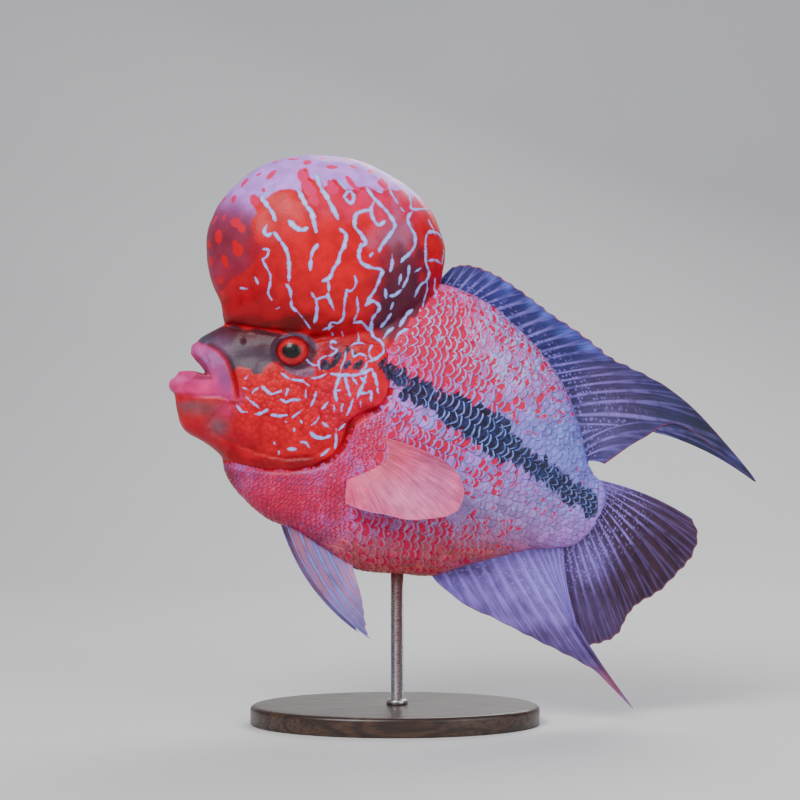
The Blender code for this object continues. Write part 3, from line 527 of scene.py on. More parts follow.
# The marks as strokes in drawing units: full width, then the path.
HUMP_STROKES = [
    (5.5, [(267, 192), (262, 198), (267, 205), (272, 212), (275, 220)]),
    (5.0, [(267, 225), (264, 231), (267, 235), (273, 233)]),
    (4.5, [(273, 231), (278, 238), (283, 244), (287, 252), (289, 262), (289, 283)]),
    (3.5, [(286, 284), (290, 290), (291, 300), (292, 307), (298, 312)]),
    (
        3.0,
        [
            (260, 249), (268, 250), (267, 256), (263, 260), (266, 267), (270, 274), (270, 284),
            (268, 293), (272, 300),
        ],
    ),
    (3.2, [(255, 277), (258, 284)]), (2.2, [(240, 288), (247, 289)]), (2.2, [(276, 309), (280, 307)]),
    (6.5, [(289, 221), (295, 227), (302, 230), (307, 228)]),
    (6.0, [(297, 189), (302, 197), (306, 205), (312, 213), (314, 222), (316, 232)]),
    (4.6, [(318, 244), (313, 251), (311, 260), (310, 270)]),
    (6.0, [(316, 174), (321, 188), (327, 197), (332, 207), (338, 219)]),
    (
        5.0,
        [
            (340, 229), (346, 235), (344, 246), (340, 254), (338, 262), (333, 270), (329, 278),
            (322, 281),
        ],
    ),
    (4.0, [(328, 281), (329, 290), (328, 296), (331, 303), (334, 310)]),
    (3.6, [(328, 296), (321, 298), (316, 299), (311, 292)]),
    (4.2, [(316, 299), (317, 308), (316, 318), (314, 323)]),
    (4.0, [(338, 180), (343, 185), (347, 190)]),
    (4.5, [(344, 197), (349, 191), (354, 196), (351, 203), (344, 197)]),
    (3.4, [(355, 276), (356, 284), (351, 291), (346, 290)]),
    (3.4, [(347, 290), (345, 300), (344, 310), (343, 318), (338, 323), (331, 323), (329, 330)]),
    (3.0, [(357, 297), (358, 310), (354, 321)]),
    (5.0, [(371, 210), (363, 211), (356, 215), (355, 226), (361, 234), (366, 243), (360, 246)]),
    (
        4.4,
        [
            (361, 243), (359, 255), (361, 262), (369, 267), (382, 270), (380, 278), (375, 290),
            (369, 299), (366, 305),
        ],
    ),
    (
        4.4,
        [
            (366, 305), (372, 301), (378, 304), (379, 310), (373, 318), (371, 328), (373, 336),
            (381, 342),
        ],
    ),
    (4.5, [(375, 200), (371, 210), (374, 220), (379, 225), (385, 221)]),
    (
        5.0,
        [
            (367, 188), (372, 196), (376, 200), (384, 208), (391, 217), (395, 226), (389, 236),
            (382, 245), (379, 252),
        ],
    ),
    (4.0, [(369, 257), (373, 253)]), (4.5, [(376, 191), (382, 192)]),
    (4.0, [(389, 188), (393, 196), (398, 203)]),
    (4.2, [(409, 192), (411, 203), (412, 209), (422, 209), (434, 209)]),
    (4.0, [(401, 208), (404, 211)]),
    (
        4.5,
        [
            (412, 212), (408, 219), (411, 228), (415, 235), (415, 245), (411, 252), (404, 258),
            (401, 262),
        ],
    ),
    (
        4.5,
        [
            (442, 238), (437, 233), (430, 232), (426, 238), (426, 262), (429, 272), (427, 280),
            (420, 286), (415, 296),
        ],
    ),
    (3.2, [(427, 261), (435, 260), (442, 264)]),
    (3.0, [(427, 279), (427, 290), (424, 300), (422, 309)]),
    (4.5, [(392, 254), (392, 265), (390, 272)]), (4.5, [(409, 266), (408, 277), (403, 287)]),
    (4.2, [(401, 275), (399, 284)]), (4.0, [(415, 272), (421, 268)]),
    (4.5, [(401, 290), (395, 295), (390, 296)]), (4.0, [(385, 288), (386, 298)]),
    (5.0, [(393, 303), (391, 309)]), (5.4, [(391, 314), (386, 321), (381, 327)]),
    (5.0, [(412, 310), (408, 313), (404, 319), (400, 326)]),
    (4.0, [(393, 328), (388, 332), (384, 338)]), (4.4, [(407, 329), (400, 333), (395, 340)]),
    (4.0, [(354, 323), (361, 322), (367, 328), (372, 331)]), (3.2, [(358, 332), (359, 343)]),
    (4.0, [(332, 332), (333, 335)]), (3.4, [(342, 332), (343, 336)]),
    (2.2, [(298, 312), (305, 321), (311, 330)]),
]
FACE_STROKES = [
    (3.6, [(281, 373), (288, 378), (295, 380), (303, 381), (309, 386)]),
    (3.6, [(311, 379), (320, 377), (328, 373)]), (3.0, [(307, 360), (313, 365), (319, 365)]),
    (5.0, [(243, 388), (246, 389)]), (3.4, [(245, 379), (248, 376)]),
    (3.2, [(252, 393), (255, 390), (258, 388)]),
    (4.2, [(262, 386), (266, 390), (271, 394), (276, 393), (281, 391)]),
    (3.8, [(286, 395), (288, 389)]), (4.5, [(306, 390), (306, 398)]),
    (4.2, [(316, 392), (314, 400), (311, 406)]),
    (4.5, [(281, 399), (286, 402), (292, 400), (300, 400)]),
    (3.6, [(246, 397), (252, 402), (259, 408)]), (4.2, [(236, 404), (241, 411), (247, 412)]),
    (4.2, [(255, 414), (262, 413), (268, 409)]), (5.0, [(272, 415), (280, 416), (287, 415)]),
    (3.6, [(292, 418), (297, 414), (303, 409)]), (3.4, [(285, 421), (286, 422)]),
    (4.2, [(301, 421), (302, 423)]), (3.4, [(312, 425), (317, 421), (319, 416)]),
    (5.2, [(310, 432), (316, 437), (323, 438), (330, 436)]), (4.6, [(323, 423), (328, 427)]),
    (4.0, [(294, 429), (294, 431)]), (4.6, [(301, 442), (306, 443), (309, 448)]),
    (4.6, [(288, 449), (296, 449)]), (4.4, [(321, 456), (329, 449)]), (4.4, [(274, 442), (275, 444)]),
    (4.0, [(279, 451), (279, 455)]), (3.6, [(336, 429), (336, 440), (335, 449)]),
    (3.4, [(339, 430), (345, 424)]), (4.6, [(328, 402), (322, 409)]), (3.6, [(334, 404), (334, 411)]),
    (3.2, [(343, 403), (341, 412)]), (3.4, [(353, 399), (350, 408), (347, 415)]),
    (5.2, [(331, 374), (338, 375), (346, 375), (356, 375), (365, 372), (372, 369)]),
    (4.6, [(340, 376), (337, 384), (335, 392), (337, 401)]),
    (4.4, [(345, 377), (348, 388), (350, 396)]), (3.4, [(352, 377), (357, 384)]),
    (4.0, [(366, 375), (363, 385), (359, 393), (357, 400)]),
    (4.4, [(359, 393), (366, 393), (371, 392), (371, 401)]), (3.4, [(335, 391), (341, 390)]),
    (3.2, [(360, 400), (361, 407)]), (5.0, [(372, 370), (376, 380), (378, 393)]),
    (4.4, [(360, 377), (366, 383)]), (4.4, [(381, 341), (384, 350), (377, 358), (368, 362)]),
    (3.2, [(372, 345), (369, 352), (372, 360)]),
    (
        3.2,
        [
            (320, 371), (319, 361), (326, 356), (332, 355), (337, 350), (331, 347), (332, 341),
            (339, 344),
        ],
    ),
    (3.2, [(340, 372), (342, 365), (345, 358), (346, 350)]),
    (3.2, [(350, 346), (358, 343), (369, 345)]),
    (3.4, [(352, 349), (354, 356), (360, 354), (367, 356)]),
    (3.0, [(366, 357), (366, 366), (360, 372)]), (2.4, [(241, 466), (242, 466)]),
    (3.0, [(323, 330), (333, 326)]),
]
INK_STROKES = [
    (8.5, [(324, 361), (327, 368)]), (6.0, [(331, 366), (336, 361), (339, 352)]),
    (7.5, [(345, 366), (350, 361)]), (7.5, [(355, 367), (362, 361)]), (3.0, [(349, 346), (346, 354)]),
    (3.6, [(352, 352), (357, 358)]), (7.0, [(381, 362), (384, 372)]), (6.5, [(391, 368), (391, 380)]),
    (5.0, [(401, 372), (404, 386)]), (4.5, [(409, 374), (414, 388)]), (4.0, [(421, 386), (424, 398)]),
    (8.0, [(400, 392), (404, 399)]), (8.0, [(413, 392), (418, 404)]), (10.0, [(430, 390), (434, 408)]),
    (10.0, [(440, 397), (446, 414)]), (13.0, [(452, 398), (458, 420)]),
    (14.0, [(464, 402), (470, 428)]), (18.0, [(474, 410), (482, 440)]),
    (20.0, [(486, 416), (494, 452)]), (20.0, [(500, 424), (506, 452)]),
    (11.0, [(514, 436), (516, 462)]), (9.0, [(525, 456), (527, 470)]), (12.0, [(538, 462), (540, 476)]),
    (12.0, [(552, 470), (556, 488)]), (10.0, [(567, 490), (569, 504)]), (5.0, [(581, 480), (576, 494)]),
    (13.0, [(593, 500), (589, 514)]), (6.0, [(546, 456), (547, 466)]), (4.0, [(500, 464), (508, 456)]),
]
SPOTS = [
    (8.0, [(233, 221), (238, 224), (243, 230)]), (8.5, [(218, 233), (219, 241)]),
    (9.5, [(235, 243), (239, 252)]), (4.6, [(224, 216), (224, 219)]), (5.5, [(217, 217), (213, 223)]),
    (7.0, [(223, 257), (227, 266)]), (7.0, [(211, 259), (211, 264)]), (7.0, [(246, 180), (242, 186)]),
    (5.0, [(268, 178), (275, 171)]), (4.5, [(263, 189), (264, 191)]), (3.6, [(289, 159), (297, 159)]),
    (5.2, [(328, 167), (336, 167)]), (5.0, [(351, 166), (356, 168)]), (8.0, [(382, 179), (384, 187)]),
    (4.4, [(347, 177), (352, 184), (358, 190)]),
    (8.0, [(301, 172), (305, 182), (311, 192), (316, 204)]), (8.5, [(330, 182), (334, 192)]),
    (7.0, [(362, 192), (366, 202)]), (7.0, [(401, 192), (404, 200)]), (6.0, [(415, 197), (420, 205)]),
    (6.0, [(252, 198), (257, 204)]),
]
# Areas of the skin as outlines in drawing units.
HUMP_AREA = [
    (180, 120), (470, 120), (470, 262), (441, 285), (425, 306), (408, 329), (392, 342), (378, 344),
    (352, 334), (330, 337), (314, 340), (300, 338), (280, 331), (250, 327), (222, 324), (180, 324),
]
CROWN_AREA = [
    (180, 120), (470, 120), (452, 236), (442, 222), (434, 211), (424, 201), (412, 194), (404, 188),
    (396, 191), (388, 188), (378, 192), (371, 190), (364, 186), (357, 187), (352, 190), (345, 186),
    (338, 180), (332, 179), (327, 186), (322, 188), (318, 180), (311, 172), (305, 169), (298, 171),
    (300, 180), (303, 190), (298, 190), (290, 189), (280, 190), (270, 196), (264, 201), (259, 199),
    (254, 195), (249, 197), (251, 203), (256, 207), (257, 213), (252, 220), (250, 230), (252, 240),
    (258, 246), (262, 250), (258, 256), (254, 262), (250, 268), (244, 272), (236, 276), (228, 284),
    (222, 292), (180, 304),
]
BODY_AREA = [
    (440, 120), (440, 284), (425, 306), (406, 330), (390, 347), (392, 366), (395, 385), (392, 399),
    (382, 411), (366, 419), (356, 426), (352, 436), (345, 450), (334, 462), (314, 470), (288, 473),
    (262, 472), (238, 468), (226, 464), (190, 464), (190, 700), (800, 700), (800, 120),
]
BREAST_AREA = [
    (200, 455), (240, 468), (290, 474), (318, 470), (336, 462), (348, 446), (354, 428), (366, 418),
    (384, 408), (396, 412), (384, 432), (372, 456), (358, 480), (350, 512), (346, 530), (330, 545),
    (290, 548), (200, 540),
]
SNOUT_AREA = [
    (186, 345), (200, 334), (222, 325), (283, 334), (282, 342), (279, 350), (281, 360), (276, 361),
    (270, 363), (264, 368), (262, 373), (253, 374), (250, 369), (238, 368), (230, 372), (226, 360),
    (218, 351), (206, 345),
]
UPPER_LIP_AREA = [
    (190, 350), (196, 344), (206, 344), (217, 351), (225, 361), (229, 374), (233, 390), (234, 400),
    (227, 401), (221, 394), (216, 386), (211, 379), (207, 370), (201, 362), (194, 356),
]
LOWER_LIP_AREA = [
    (165, 385), (171, 373), (190, 369), (210, 376), (224, 388), (229, 398), (210, 397), (190, 396),
    (172, 393),
]
EYE_AREA = [
    (283, 364), (300, 362), (312, 366), (316, 371), (312, 377), (300, 377), (290, 374), (284, 370),
]
MOUTH_SHADE_AREA = [
    (193, 352), (200, 358), (206, 364), (210, 372), (213, 379), (203, 380), (192, 379), (197, 373),
    (197, 366),
]
BAND_AREA = [
    (372, 352), (386, 358), (400, 364), (416, 374), (432, 380), (448, 388), (466, 392), (484, 402),
    (500, 410), (512, 424), (524, 442), (540, 452), (556, 462), (574, 474), (592, 482), (604, 492),
    (600, 514), (586, 516), (570, 508), (556, 500), (540, 486), (522, 474), (504, 466), (488, 462),
    (474, 448), (458, 436), (440, 424), (424, 414), (408, 404), (396, 394), (386, 382), (378, 370),
]
# Soft patches of colour: name, middle, half widths in drawing units, strength.
# On the hump, the darker reds low down and in the crease under its front are painted shade.
HUMP_TINTS = [
    ("pink", 380, 202, 62, 20, 0.45), ("shaded red", 240, 312, 66, 30, 0.9),
    ("shaded red", 312, 330, 60, 13, 0.7), ("brow shadow red", 275, 324, 62, 10, 0.9),
    ("maroon", 393, 300, 20, 34, 0.95), ("maroon", 402, 262, 20, 34, 0.9),
    ("maroon", 416, 296, 18, 34, 0.95), ("maroon", 386, 324, 18, 16, 0.95),
    ("mauve", 400, 232, 14, 18, 0.8), ("mauve", 396, 208, 10, 12, 0.6),
    ("mauve", 380, 236, 10, 12, 0.5), ("shaded red", 262, 280, 20, 40, 0.6),
]
# The darker red low on the hump's front is painted shade.
CROWN_TINTS = [
    ("crown front", 214, 220, 44, 24, 0.85), ("dusky", 216, 240, 48, 26, 0.95),
    ("dusky", 230, 262, 52, 24, 0.9), ("shaded red", 240, 290, 60, 30, 1.0),
    ("dusky", 176, 250, 14, 40, 0.6), ("dusky", 246, 240, 26, 30, 0.85),
    ("shaded red", 260, 252, 14, 30, 0.85),
]
HEAD_TINTS = [
    # The darker red below the hump and in the cheek's lower crease is painted shade.
    ("gill", 352, 402, 36, 32, 0.9), ("shaded red", 345, 330, 40, 20, 0.7),
    ("maroon", 332, 350, 14, 12, 0.5), ("throat", 222, 440, 36, 12, 0.8),
    # Along the crease of the gill cover, the dark band is partly the membrane's own dark red and partly
    # painted shade.
    ("shaded red", 236, 446, 30, 8, 0.7), ("membrane", 290, 464, 78, 8, 0.95),
    ("membrane", 222, 456, 20, 8, 0.9), ("membrane", 350, 432, 9, 16, 0.9),
    ("membrane", 374, 410, 16, 5, 0.8), ("chin", 200, 408, 26, 9, 0.95),
    ("chin grey", 217, 426, 13, 10, 0.95), ("chin grey", 188, 405, 10, 4, 0.6),
    ("throat", 192, 430, 18, 12, 0.95), ("throat", 184, 396, 16, 4, 0.85),
    # The short dark line at the end of the upper lip is painted shade in its groove.
    ("lip", 226, 410, 10, 9, 0.45), ("lip", 240, 398, 5, 8, 0.5), ("fold shadow", 236, 402, 9, 2, 0.7),
    ("lip", 206, 392, 16, 6, 0.5),
]
SNOUT_TINTS = [
    ("snout brown", 254, 332, 46, 10, 1.0), ("snout lilac", 222, 346, 10, 12, 0.7),
    ("snout", 252, 358, 26, 12, 0.6), ("snout brown", 262, 346, 12, 3, 0.4),
    ("grey blue", 205, 340, 9, 6, 0.5),
]
BODY_TINTS = [
    ("flank up", 510, 350, 70, 62, 0.9), ("flank pink", 455, 330, 40, 50, 0.7),
    ("nape", 420, 330, 46, 52, 0.9), ("rear", 580, 450, 60, 60, 0.95), ("rear", 510, 430, 60, 24, 0.6),
    ("flank low", 470, 520, 90, 44, 0.8), ("belly", 405, 552, 130, 28, 0.95),
    ("orange", 400, 573, 100, 11, 0.95), ("orange", 340, 558, 30, 18, 0.6),
    ("orange", 490, 553, 60, 8, 0.7), ("breast", 280, 500, 66, 36, 1.0),
    # Just under the gill cover's edge, the dark band is painted shadow.
    ("breast", 336, 490, 18, 44, 0.9), ("membrane", 270, 474, 54, 6, 0.6),
    ("breast edge", 226, 490, 14, 40, 0.95), ("breast edge", 262, 528, 40, 16, 0.9),
    ("breast edge", 310, 536, 24, 12, 0.8), ("breast", 368, 440, 24, 34, 0.95),
    ("flank pink", 400, 450, 34, 24, 0.6),
]
# Pale rims, red middles and pale specks of the scales: middle, half widths, strength or share.
RIM_TINTS = [
    ("rim white", 440, 325, 60, 44, 0.9), ("rim white", 515, 350, 64, 56, 0.75),
    ("rim lavender", 420, 535, 150, 46, 0.95), ("rim lavender", 400, 470, 50, 40, 0.6),
    ("rim pink", 280, 500, 110, 70, 1.0), ("rim pink", 366, 438, 34, 34, 0.8),
    ("rim rose", 400, 566, 140, 24, 0.9),
]
RIMS = [
    (420, 330, 60, 60, 1.0), (490, 370, 80, 70, 0.95), (460, 430, 90, 60, 1.0), (580, 470, 60, 60, 0.8),
    (420, 530, 120, 50, 0.75), (290, 500, 60, 50, 0.28), (370, 440, 30, 40, 0.4),
]
REDS = [
    (432, 335, 54, 54, 1.05), (458, 380, 58, 26, 0.95), (500, 405, 34, 22, 0.75),
    (515, 335, 54, 58, 0.60), (545, 400, 30, 36, 0.50), (392, 425, 36, 24, 0.85),
    (438, 446, 46, 24, 0.80), (484, 476, 34, 20, 0.72), (400, 530, 100, 30, 0.66),
    (480, 530, 44, 24, 0.45), (340, 490, 24, 50, 0.8), (290, 505, 70, 50, 0.8),
    (550, 500, 40, 26, 0.25), (368, 440, 28, 36, 1.0), (415, 560, 110, 20, 0.5),
]
SPECKS = [
    (515, 345, 64, 60, 0.40), (450, 320, 40, 40, 0.2), (570, 430, 50, 50, 0.42),
    (480, 425, 90, 30, 0.30), (440, 500, 110, 44, 0.30), (380, 440, 30, 40, 0.2),
    (560, 500, 50, 40, 0.34),
]
# The direction in which the scales lie, in degrees below level.
FLOW = [(5, 425, 325, 60, 60), (14, 510, 350, 70, 60), (12, 450, 500, 90, 40), (4, 400, 550, 120, 40)]
FLOW_BESIDE = 29
# Distance between rows of scales above and below the middle line, by distance from the head.
UP_GAP = [
    (45, 5.6), (60, 6.6), (80, 7.9), (95, 7.9), (110, 6.9), (125, 5.6), (140, 4.6), (160, 3.8),
    (174, 3.4),
]
DOWN_GAP = [(45, 7.8), (60, 7.4), (80, 6.6), (100, 5.9), (120, 5.0), (140, 4.3), (160, 3.7), (174, 3.3)]


def mix_in(colour, name, amount):
    return colour + (np.array(PALETTE[name]) - colour) * amount[:, None]


def near_patch(u, v, cu, cv, ru, rv):
    return np.exp(-((((u - cu) / ru) ** 2 + ((v - cv) / rv) ** 2) ** 1.5))


def patched(u, v, base, layers):
    """A base colour with soft patches laid over it in turn."""
    colour = np.tile(np.array(PALETTE[base], float), (len(u), 1))
    for name, cu, cv, ru, rv, most in layers:
        colour = mix_in(colour, name, most * near_patch(u, v, cu, cv, ru, rv))
    return colour


def strength(u, v, patches):
    out = np.zeros(len(u))
    for cu, cv, ru, rv, most in patches:
        out = np.maximum(out, most * near_patch(u, v, cu, cv, ru, rv))
    return out


def within(u, v, outline, soft):
    """1 inside an area and 0 outside it, with a soft edge."""
    away = from_line(u, v, outline + outline[:1], 3 * soft)
    away = np.where(away > 900, 3 * soft, away)
    return smooth(np.where(inside(u, v, outline), away, -away), -soft, soft)


def looked_at(u, v, side):
    """The skin's point and normal under a place of the drawing, seen from the left or the right."""
    if side > 0:
        u, v = u + 5 * math.sin(v / 23 + 1.3), v + 4 * math.sin(u / 19 + 0.5)
    eye = Vector((LOOK[0], side * EYE_Y, LOOK[1])) * MM
    aim = Vector((LOOK[0] + (u - 400) * DRAW, 0, LOOK[1] - (v - 400) * DRAW)) * MM
    hit = skin_tree.ray_cast(eye, (aim - eye).normalized())
    return None if hit[0] is None else np.array(hit[0]) / MM


def laid(strokes, seed, thin=1.0):
    """Strokes as points of the skin with radii in millimetres, on both sides of the fish."""
    draw, found = random.Random(seed), []
    for side in (-1, 1):
        for width, path in strokes:
            long = sum(math.dist(a, b) for a, b in zip(path, path[1:]))
            swell = draw.uniform(0, 6.3)
            for share in np.linspace(0, 1, max(4, int(long / 1.3))):
                u, v = along(path, share * (len(path) - 1))[0]
                p = looked_at(u, v, side)
                if p is not None:
                    at = share * long
                    end = min(1.0, 0.55 + min(at, long - at) / 6)
                    waver = 1 + 0.2 * math.sin(at / 3.1 + swell) + 0.12 * math.sin(at / 1.3 + 2 * swell)
                    found.append((*p, thin * width * DRAW / 2 * end * waver))
    return found


def wander(start, heading, length, turn, radius, draw):
    """A winding mark that follows the skin from a point, as points with radii."""
    p, ahead, found = Vector(start), Vector(heading), []
    for k in range(int(length / 0.6)):
        place, normal = skin_tree.find_nearest(p * MM)[:2]
        p = place / MM
        ahead = (ahead - normal * ahead.dot(normal)).normalized()
        ahead.rotate(Quaternion(normal, draw.gauss(0, turn)))
        found.append((*p, radius * (0.8 + 0.25 * math.sin(k / 3))))
        p = p + ahead * 0.6
    return found


def scattered(choose, gap, count, draw, taken=()):
    """Skin points picked at random among those chosen, no nearer to each other than the gap."""
    index, picks = np.nonzero(choose)[0], [np.array(t[:3]) for t in taken]
    first = len(picks)
    for _ in range(count * 12):
        p = skin_at[index[draw.randrange(len(index))]]
        if len(picks) - first < count:
            if not picks or np.min(np.linalg.norm(np.array(picks) - p, axis=1)) > gap:
                picks.append(p)
    return picks[first:]


def field(samples, points, reach=4.0):
    """Distance into the nearest mark, positive inside it, in millimetres."""
    tree = KDTree(len(samples))
    spots = np.array(samples)
    for i, s in enumerate(samples):
        tree.insert(s[:3], i)
    tree.balance()
    lo, hi = spots[:, :3].min(0) - reach, spots[:, :3].max(0) + reach
    out = np.full(len(points), -reach)
    radii = spots[:, 3]
    for i in np.nonzero(((points > lo) & (points < hi)).all(1))[0]:
        out[i] = max(radii[k] - d for _, k, d in tree.find_n(points[i], 3))
    return np.maximum(out, -reach)


def give(obj, **values):
    """Stores values at the points of a mesh: numbers, or colours as three columns."""
    for name, data in values.items():
        data = np.asarray(data, np.float32)
        if data.ndim == 2:
            layer = obj.data.attributes.new(name, "FLOAT_COLOR", "POINT")
            opaque = np.ones((len(data), 1), np.float32)
            layer.data.foreach_set("color", np.hstack([data, opaque]).ravel())
        else:
            obj.data.attributes.new(name, "FLOAT", "POINT").data.foreach_set("value", data)


draw = random.Random(11)
over = within(u, v, HUMP_AREA, 1.2) * smooth(skin_at[:, 2], 176, 182)
crown = (over > 0.5) & (np.abs(skin_at[:, 1]) < 15)
pale_marks = laid(HUMP_STROKES, 5, 0.70) + laid(FACE_STROKES, 8, 0.6)
ink_marks, red_marks = laid(INK_STROKES, 6), laid(SPOTS, 7, 1.15)
for p in scattered(crown & (skin_at[:, 0] > 2), 5.2, 30, draw, pale_marks):
    pale_marks += wander(p, (0.2, 0, -1), draw.uniform(4, 11), 0.35, 0.6, draw)
for p in scattered(crown & (skin_at[:, 0] < -10) & (skin_at[:, 2] > 200), 6.4, 60, draw, red_marks):
    red_marks += wander(p, (0, 1, 0.4), draw.uniform(0.6, 2.6), 0.3, draw.uniform(1.3, 2.1), draw)


def inked(points, u, v):
    """Distance into the black streaks and the band that they make, in millimetres."""
    band = from_line(u, v, BAND_AREA + BAND_AREA[:1], 12) * DRAW
    band = np.where(inside(u, v, BAND_AREA), np.minimum(band, 5), -np.minimum(band, 4))
    return np.maximum(field(ink_marks, points), 0.34 * band - 0.75)


def markings(points, u, v):
    """The ground colour that skin and scales share, with painted shade low on the hump and in the creases
    of the head, and a partly painted sheen on the hump's top.
    """
    ragged = 2.4 * waves(points, 9, 12)
    bare = 1 - within(u, v, BODY_AREA, 1.0) * (1 - within(u, v, HUMP_AREA, 1.2))
    tint = patched(u, v, "flank", BODY_TINTS)
    face = patched(u, v, "cheek", HEAD_TINTS)
    snout = within(u + ragged, v + ragged, SNOUT_AREA, 1.0)[:, None]
    face = face * (1 - snout) + patched(u, v, "snout", SNOUT_TINTS) * snout
    face = mix_in(face, "eye patch", within(u, v, EYE_AREA, 1.2))
    tint = tint * (1 - bare[:, None]) + face * bare[:, None]
    top = (within(u, v, HUMP_AREA, 1.2) * smooth(points[:, 2], 174, 180))[:, None]
    hump_tint = patched(u + 3 * ragged, v - 3 * ragged, "red", HUMP_TINTS)
    # The crown and the ridge of the hump take the pale lavender, partly its own colour and partly a
    # painted sheen where light falls on the top.
    over_top = within(u + ragged, v - ragged, CROWN_AREA, 1.4)
    ridge = smooth(points[:, 2] + 0.6 * ragged, 240, 252) * (np.abs(points[:, 1]) < 12)
    over_top = np.maximum(over_top, ridge)[:, None]
    hump_tint = hump_tint * (1 - over_top) + patched(u, v, "lavender top sheen", CROWN_TINTS) * over_top
    return tint * (1 - top) + hump_tint * top


EYE_PLACE = (295, 351.5)
EYE_RING = (19.5, 16.5)
LID_LINE = [(283, 336), (290, 335), (298, 335), (306, 337), (312, 341), (317, 348)]
GRAINED = [
    (300, 410, 80, 50, 1.0), (250, 410, 30, 40, 0.8), (330, 360, 50, 20, 0.6), (270, 460, 70, 14, 0.6),
]

tint = markings(skin_at, u, v)
lip_paths = []
for path, radii in ((UPPER_LIP, UPPER_LIP_RADII), (LOWER_LIP, LOWER_LIP_RADII)):
    whole = path + [(x, -y, z) for x, y, z in path[-2::-1]]
    for k in np.linspace(0, len(whole) - 1, 90):
        r = float(along([[r] for r in radii], 2 * (1 - abs(2 * k / (len(whole) - 1) - 1)))[0, 0])
        lip_paths.append((*along(whole, k)[0], r))
on_lip = smooth(field(lip_paths, skin_at), -0.9, -0.1)
for area in (UPPER_LIP_AREA, LOWER_LIP_AREA):
    on_lip = np.maximum(on_lip, within(u, v, area, 1.8) * (skin_at[:, 0] < -72))
lip_tint = patched(u, v, "lip", LIP_TINTS)
tint = tint * (1 - on_lip[:, None]) + lip_tint * on_lip[:, None]
# The mouth opening is painted dark: partly the dark red of its lining, partly painted shade inside it.
tint = mix_in(tint, "mouth", within(u, v, MOUTH_SHADE_AREA, 1.0) * (1 - 0.4 * on_lip))
# Painted shade darkens the groove behind the upper lip.
groove = from_line(u, v, LIP_GROOVE, 10)
tint = mix_in(tint, "fold shadow", 0.7 * np.exp(-((groove / 1.7) ** 2)))
eye_round = np.hypot((u - EYE_PLACE[0]) / EYE_RING[0], (v - EYE_PLACE[1]) / EYE_RING[1])
tint = mix_in(tint, "lid", 0.92 * smooth(eye_round, 1.28, 1.02))
lid = from_line(u, v, LID_LINE, 10)
tint = mix_in(tint, "grey blue", 0.75 * np.exp(-((lid / 2.2) ** 4)))
grain = strength(u, v, GRAINED)
grain *= (1 - on_lip) * (1 - within(u, v, SNOUT_AREA, 2.0))
give(
    skin, tint=tint, grain=grain, pale=field(pale_marks, skin_at), ink=inked(skin_at, u, v),
    spot=field(red_marks, skin_at),
)


class Paint:
    """Builds the nodes of one material."""

    def __init__(self, name, **settings):
        self.mat = bpy.data.materials.new(name)
        self.mat.use_nodes = True
        self.tree = self.mat.node_tree
        self.shader = self.tree.nodes["Principled BSDF"]
        for key, value in settings.items():
            self.shader.inputs[key.replace("_", " ")].default_value = value
        self.place = self.node("TexCoord").outputs["Object"]

    def node(self, kind, **settings):
        made = self.tree.nodes.new("ShaderNode" + kind)
        for key, value in settings.items():
            setattr(made, key, value)
        return made

    def put(self, socket, value):
        if isinstance(value, bpy.types.NodeSocket):
            self.tree.links.new(value, socket)
        else:
            socket.default_value = value

    def attribute(self, name, part="Fac"):
        return self.node("Attribute", attribute_name=name).outputs[part]

    def number(self, how, a, b=0.0, c=0.0):
        made = self.node("Math", operation=how)
        for socket, value in zip(made.inputs, (a, b, c)):
            self.put(socket, value)
        return made.outputs[0]

    def step(self, value, lo, hi, out=(0.0, 1.0)):
        made = self.node("MapRange", interpolation_type="SMOOTHSTEP")
        for socket, given in zip(made.inputs, (value, lo, hi, *out)):
            self.put(socket, given)
        return made.outputs[0]

    def mix(self, amount, a, b):
        made = self.node("Mix", data_type="RGBA")
        for k, value in ((0, amount), (6, a), (7, b)):
            self.put(made.inputs[k], (*PALETTE[value], 1) if isinstance(value, str) else value)
        return made.outputs[2]

    def noise(self, scale, detail=2.0, stretch=None, place=None, lean=0.0):
        """Noise, finer along each axis by the stretch, whose upright axis may lean back."""
        place = place or self.place
        if stretch:
            made = self.node("Mapping", vector_type="TEXTURE")
            self.put(made.inputs["Vector"], place)
            made.inputs["Rotation"].default_value = (0, lean, 0)
            made.inputs["Scale"].default_value = [1 / k for k in stretch]
            place = made.outputs[0]
        made = self.node("TexNoise")
        self.put(made.inputs["Vector"], place)
        made.inputs["Scale"].default_value = scale
        made.inputs["Detail"].default_value = detail
        return made.outputs["Fac"]

    def brighter(self, colour, amount):
        made = self.node("HueSaturation")
        self.put(made.inputs["Color"], colour)
        self.put(made.inputs["Value"], amount)
        return made.outputs[0]

    def bump(self, height, depth):
        made = self.node("Bump")
        made.inputs["Distance"].default_value = depth
        self.put(made.inputs["Height"], height)
        self.put(self.shader.inputs["Normal"], made.outputs[0])

    def done(self, colour, rough):
        self.put(self.shader.inputs["Base Color"], colour)
        self.put(self.shader.inputs["Roughness"], rough)
        return self.mat


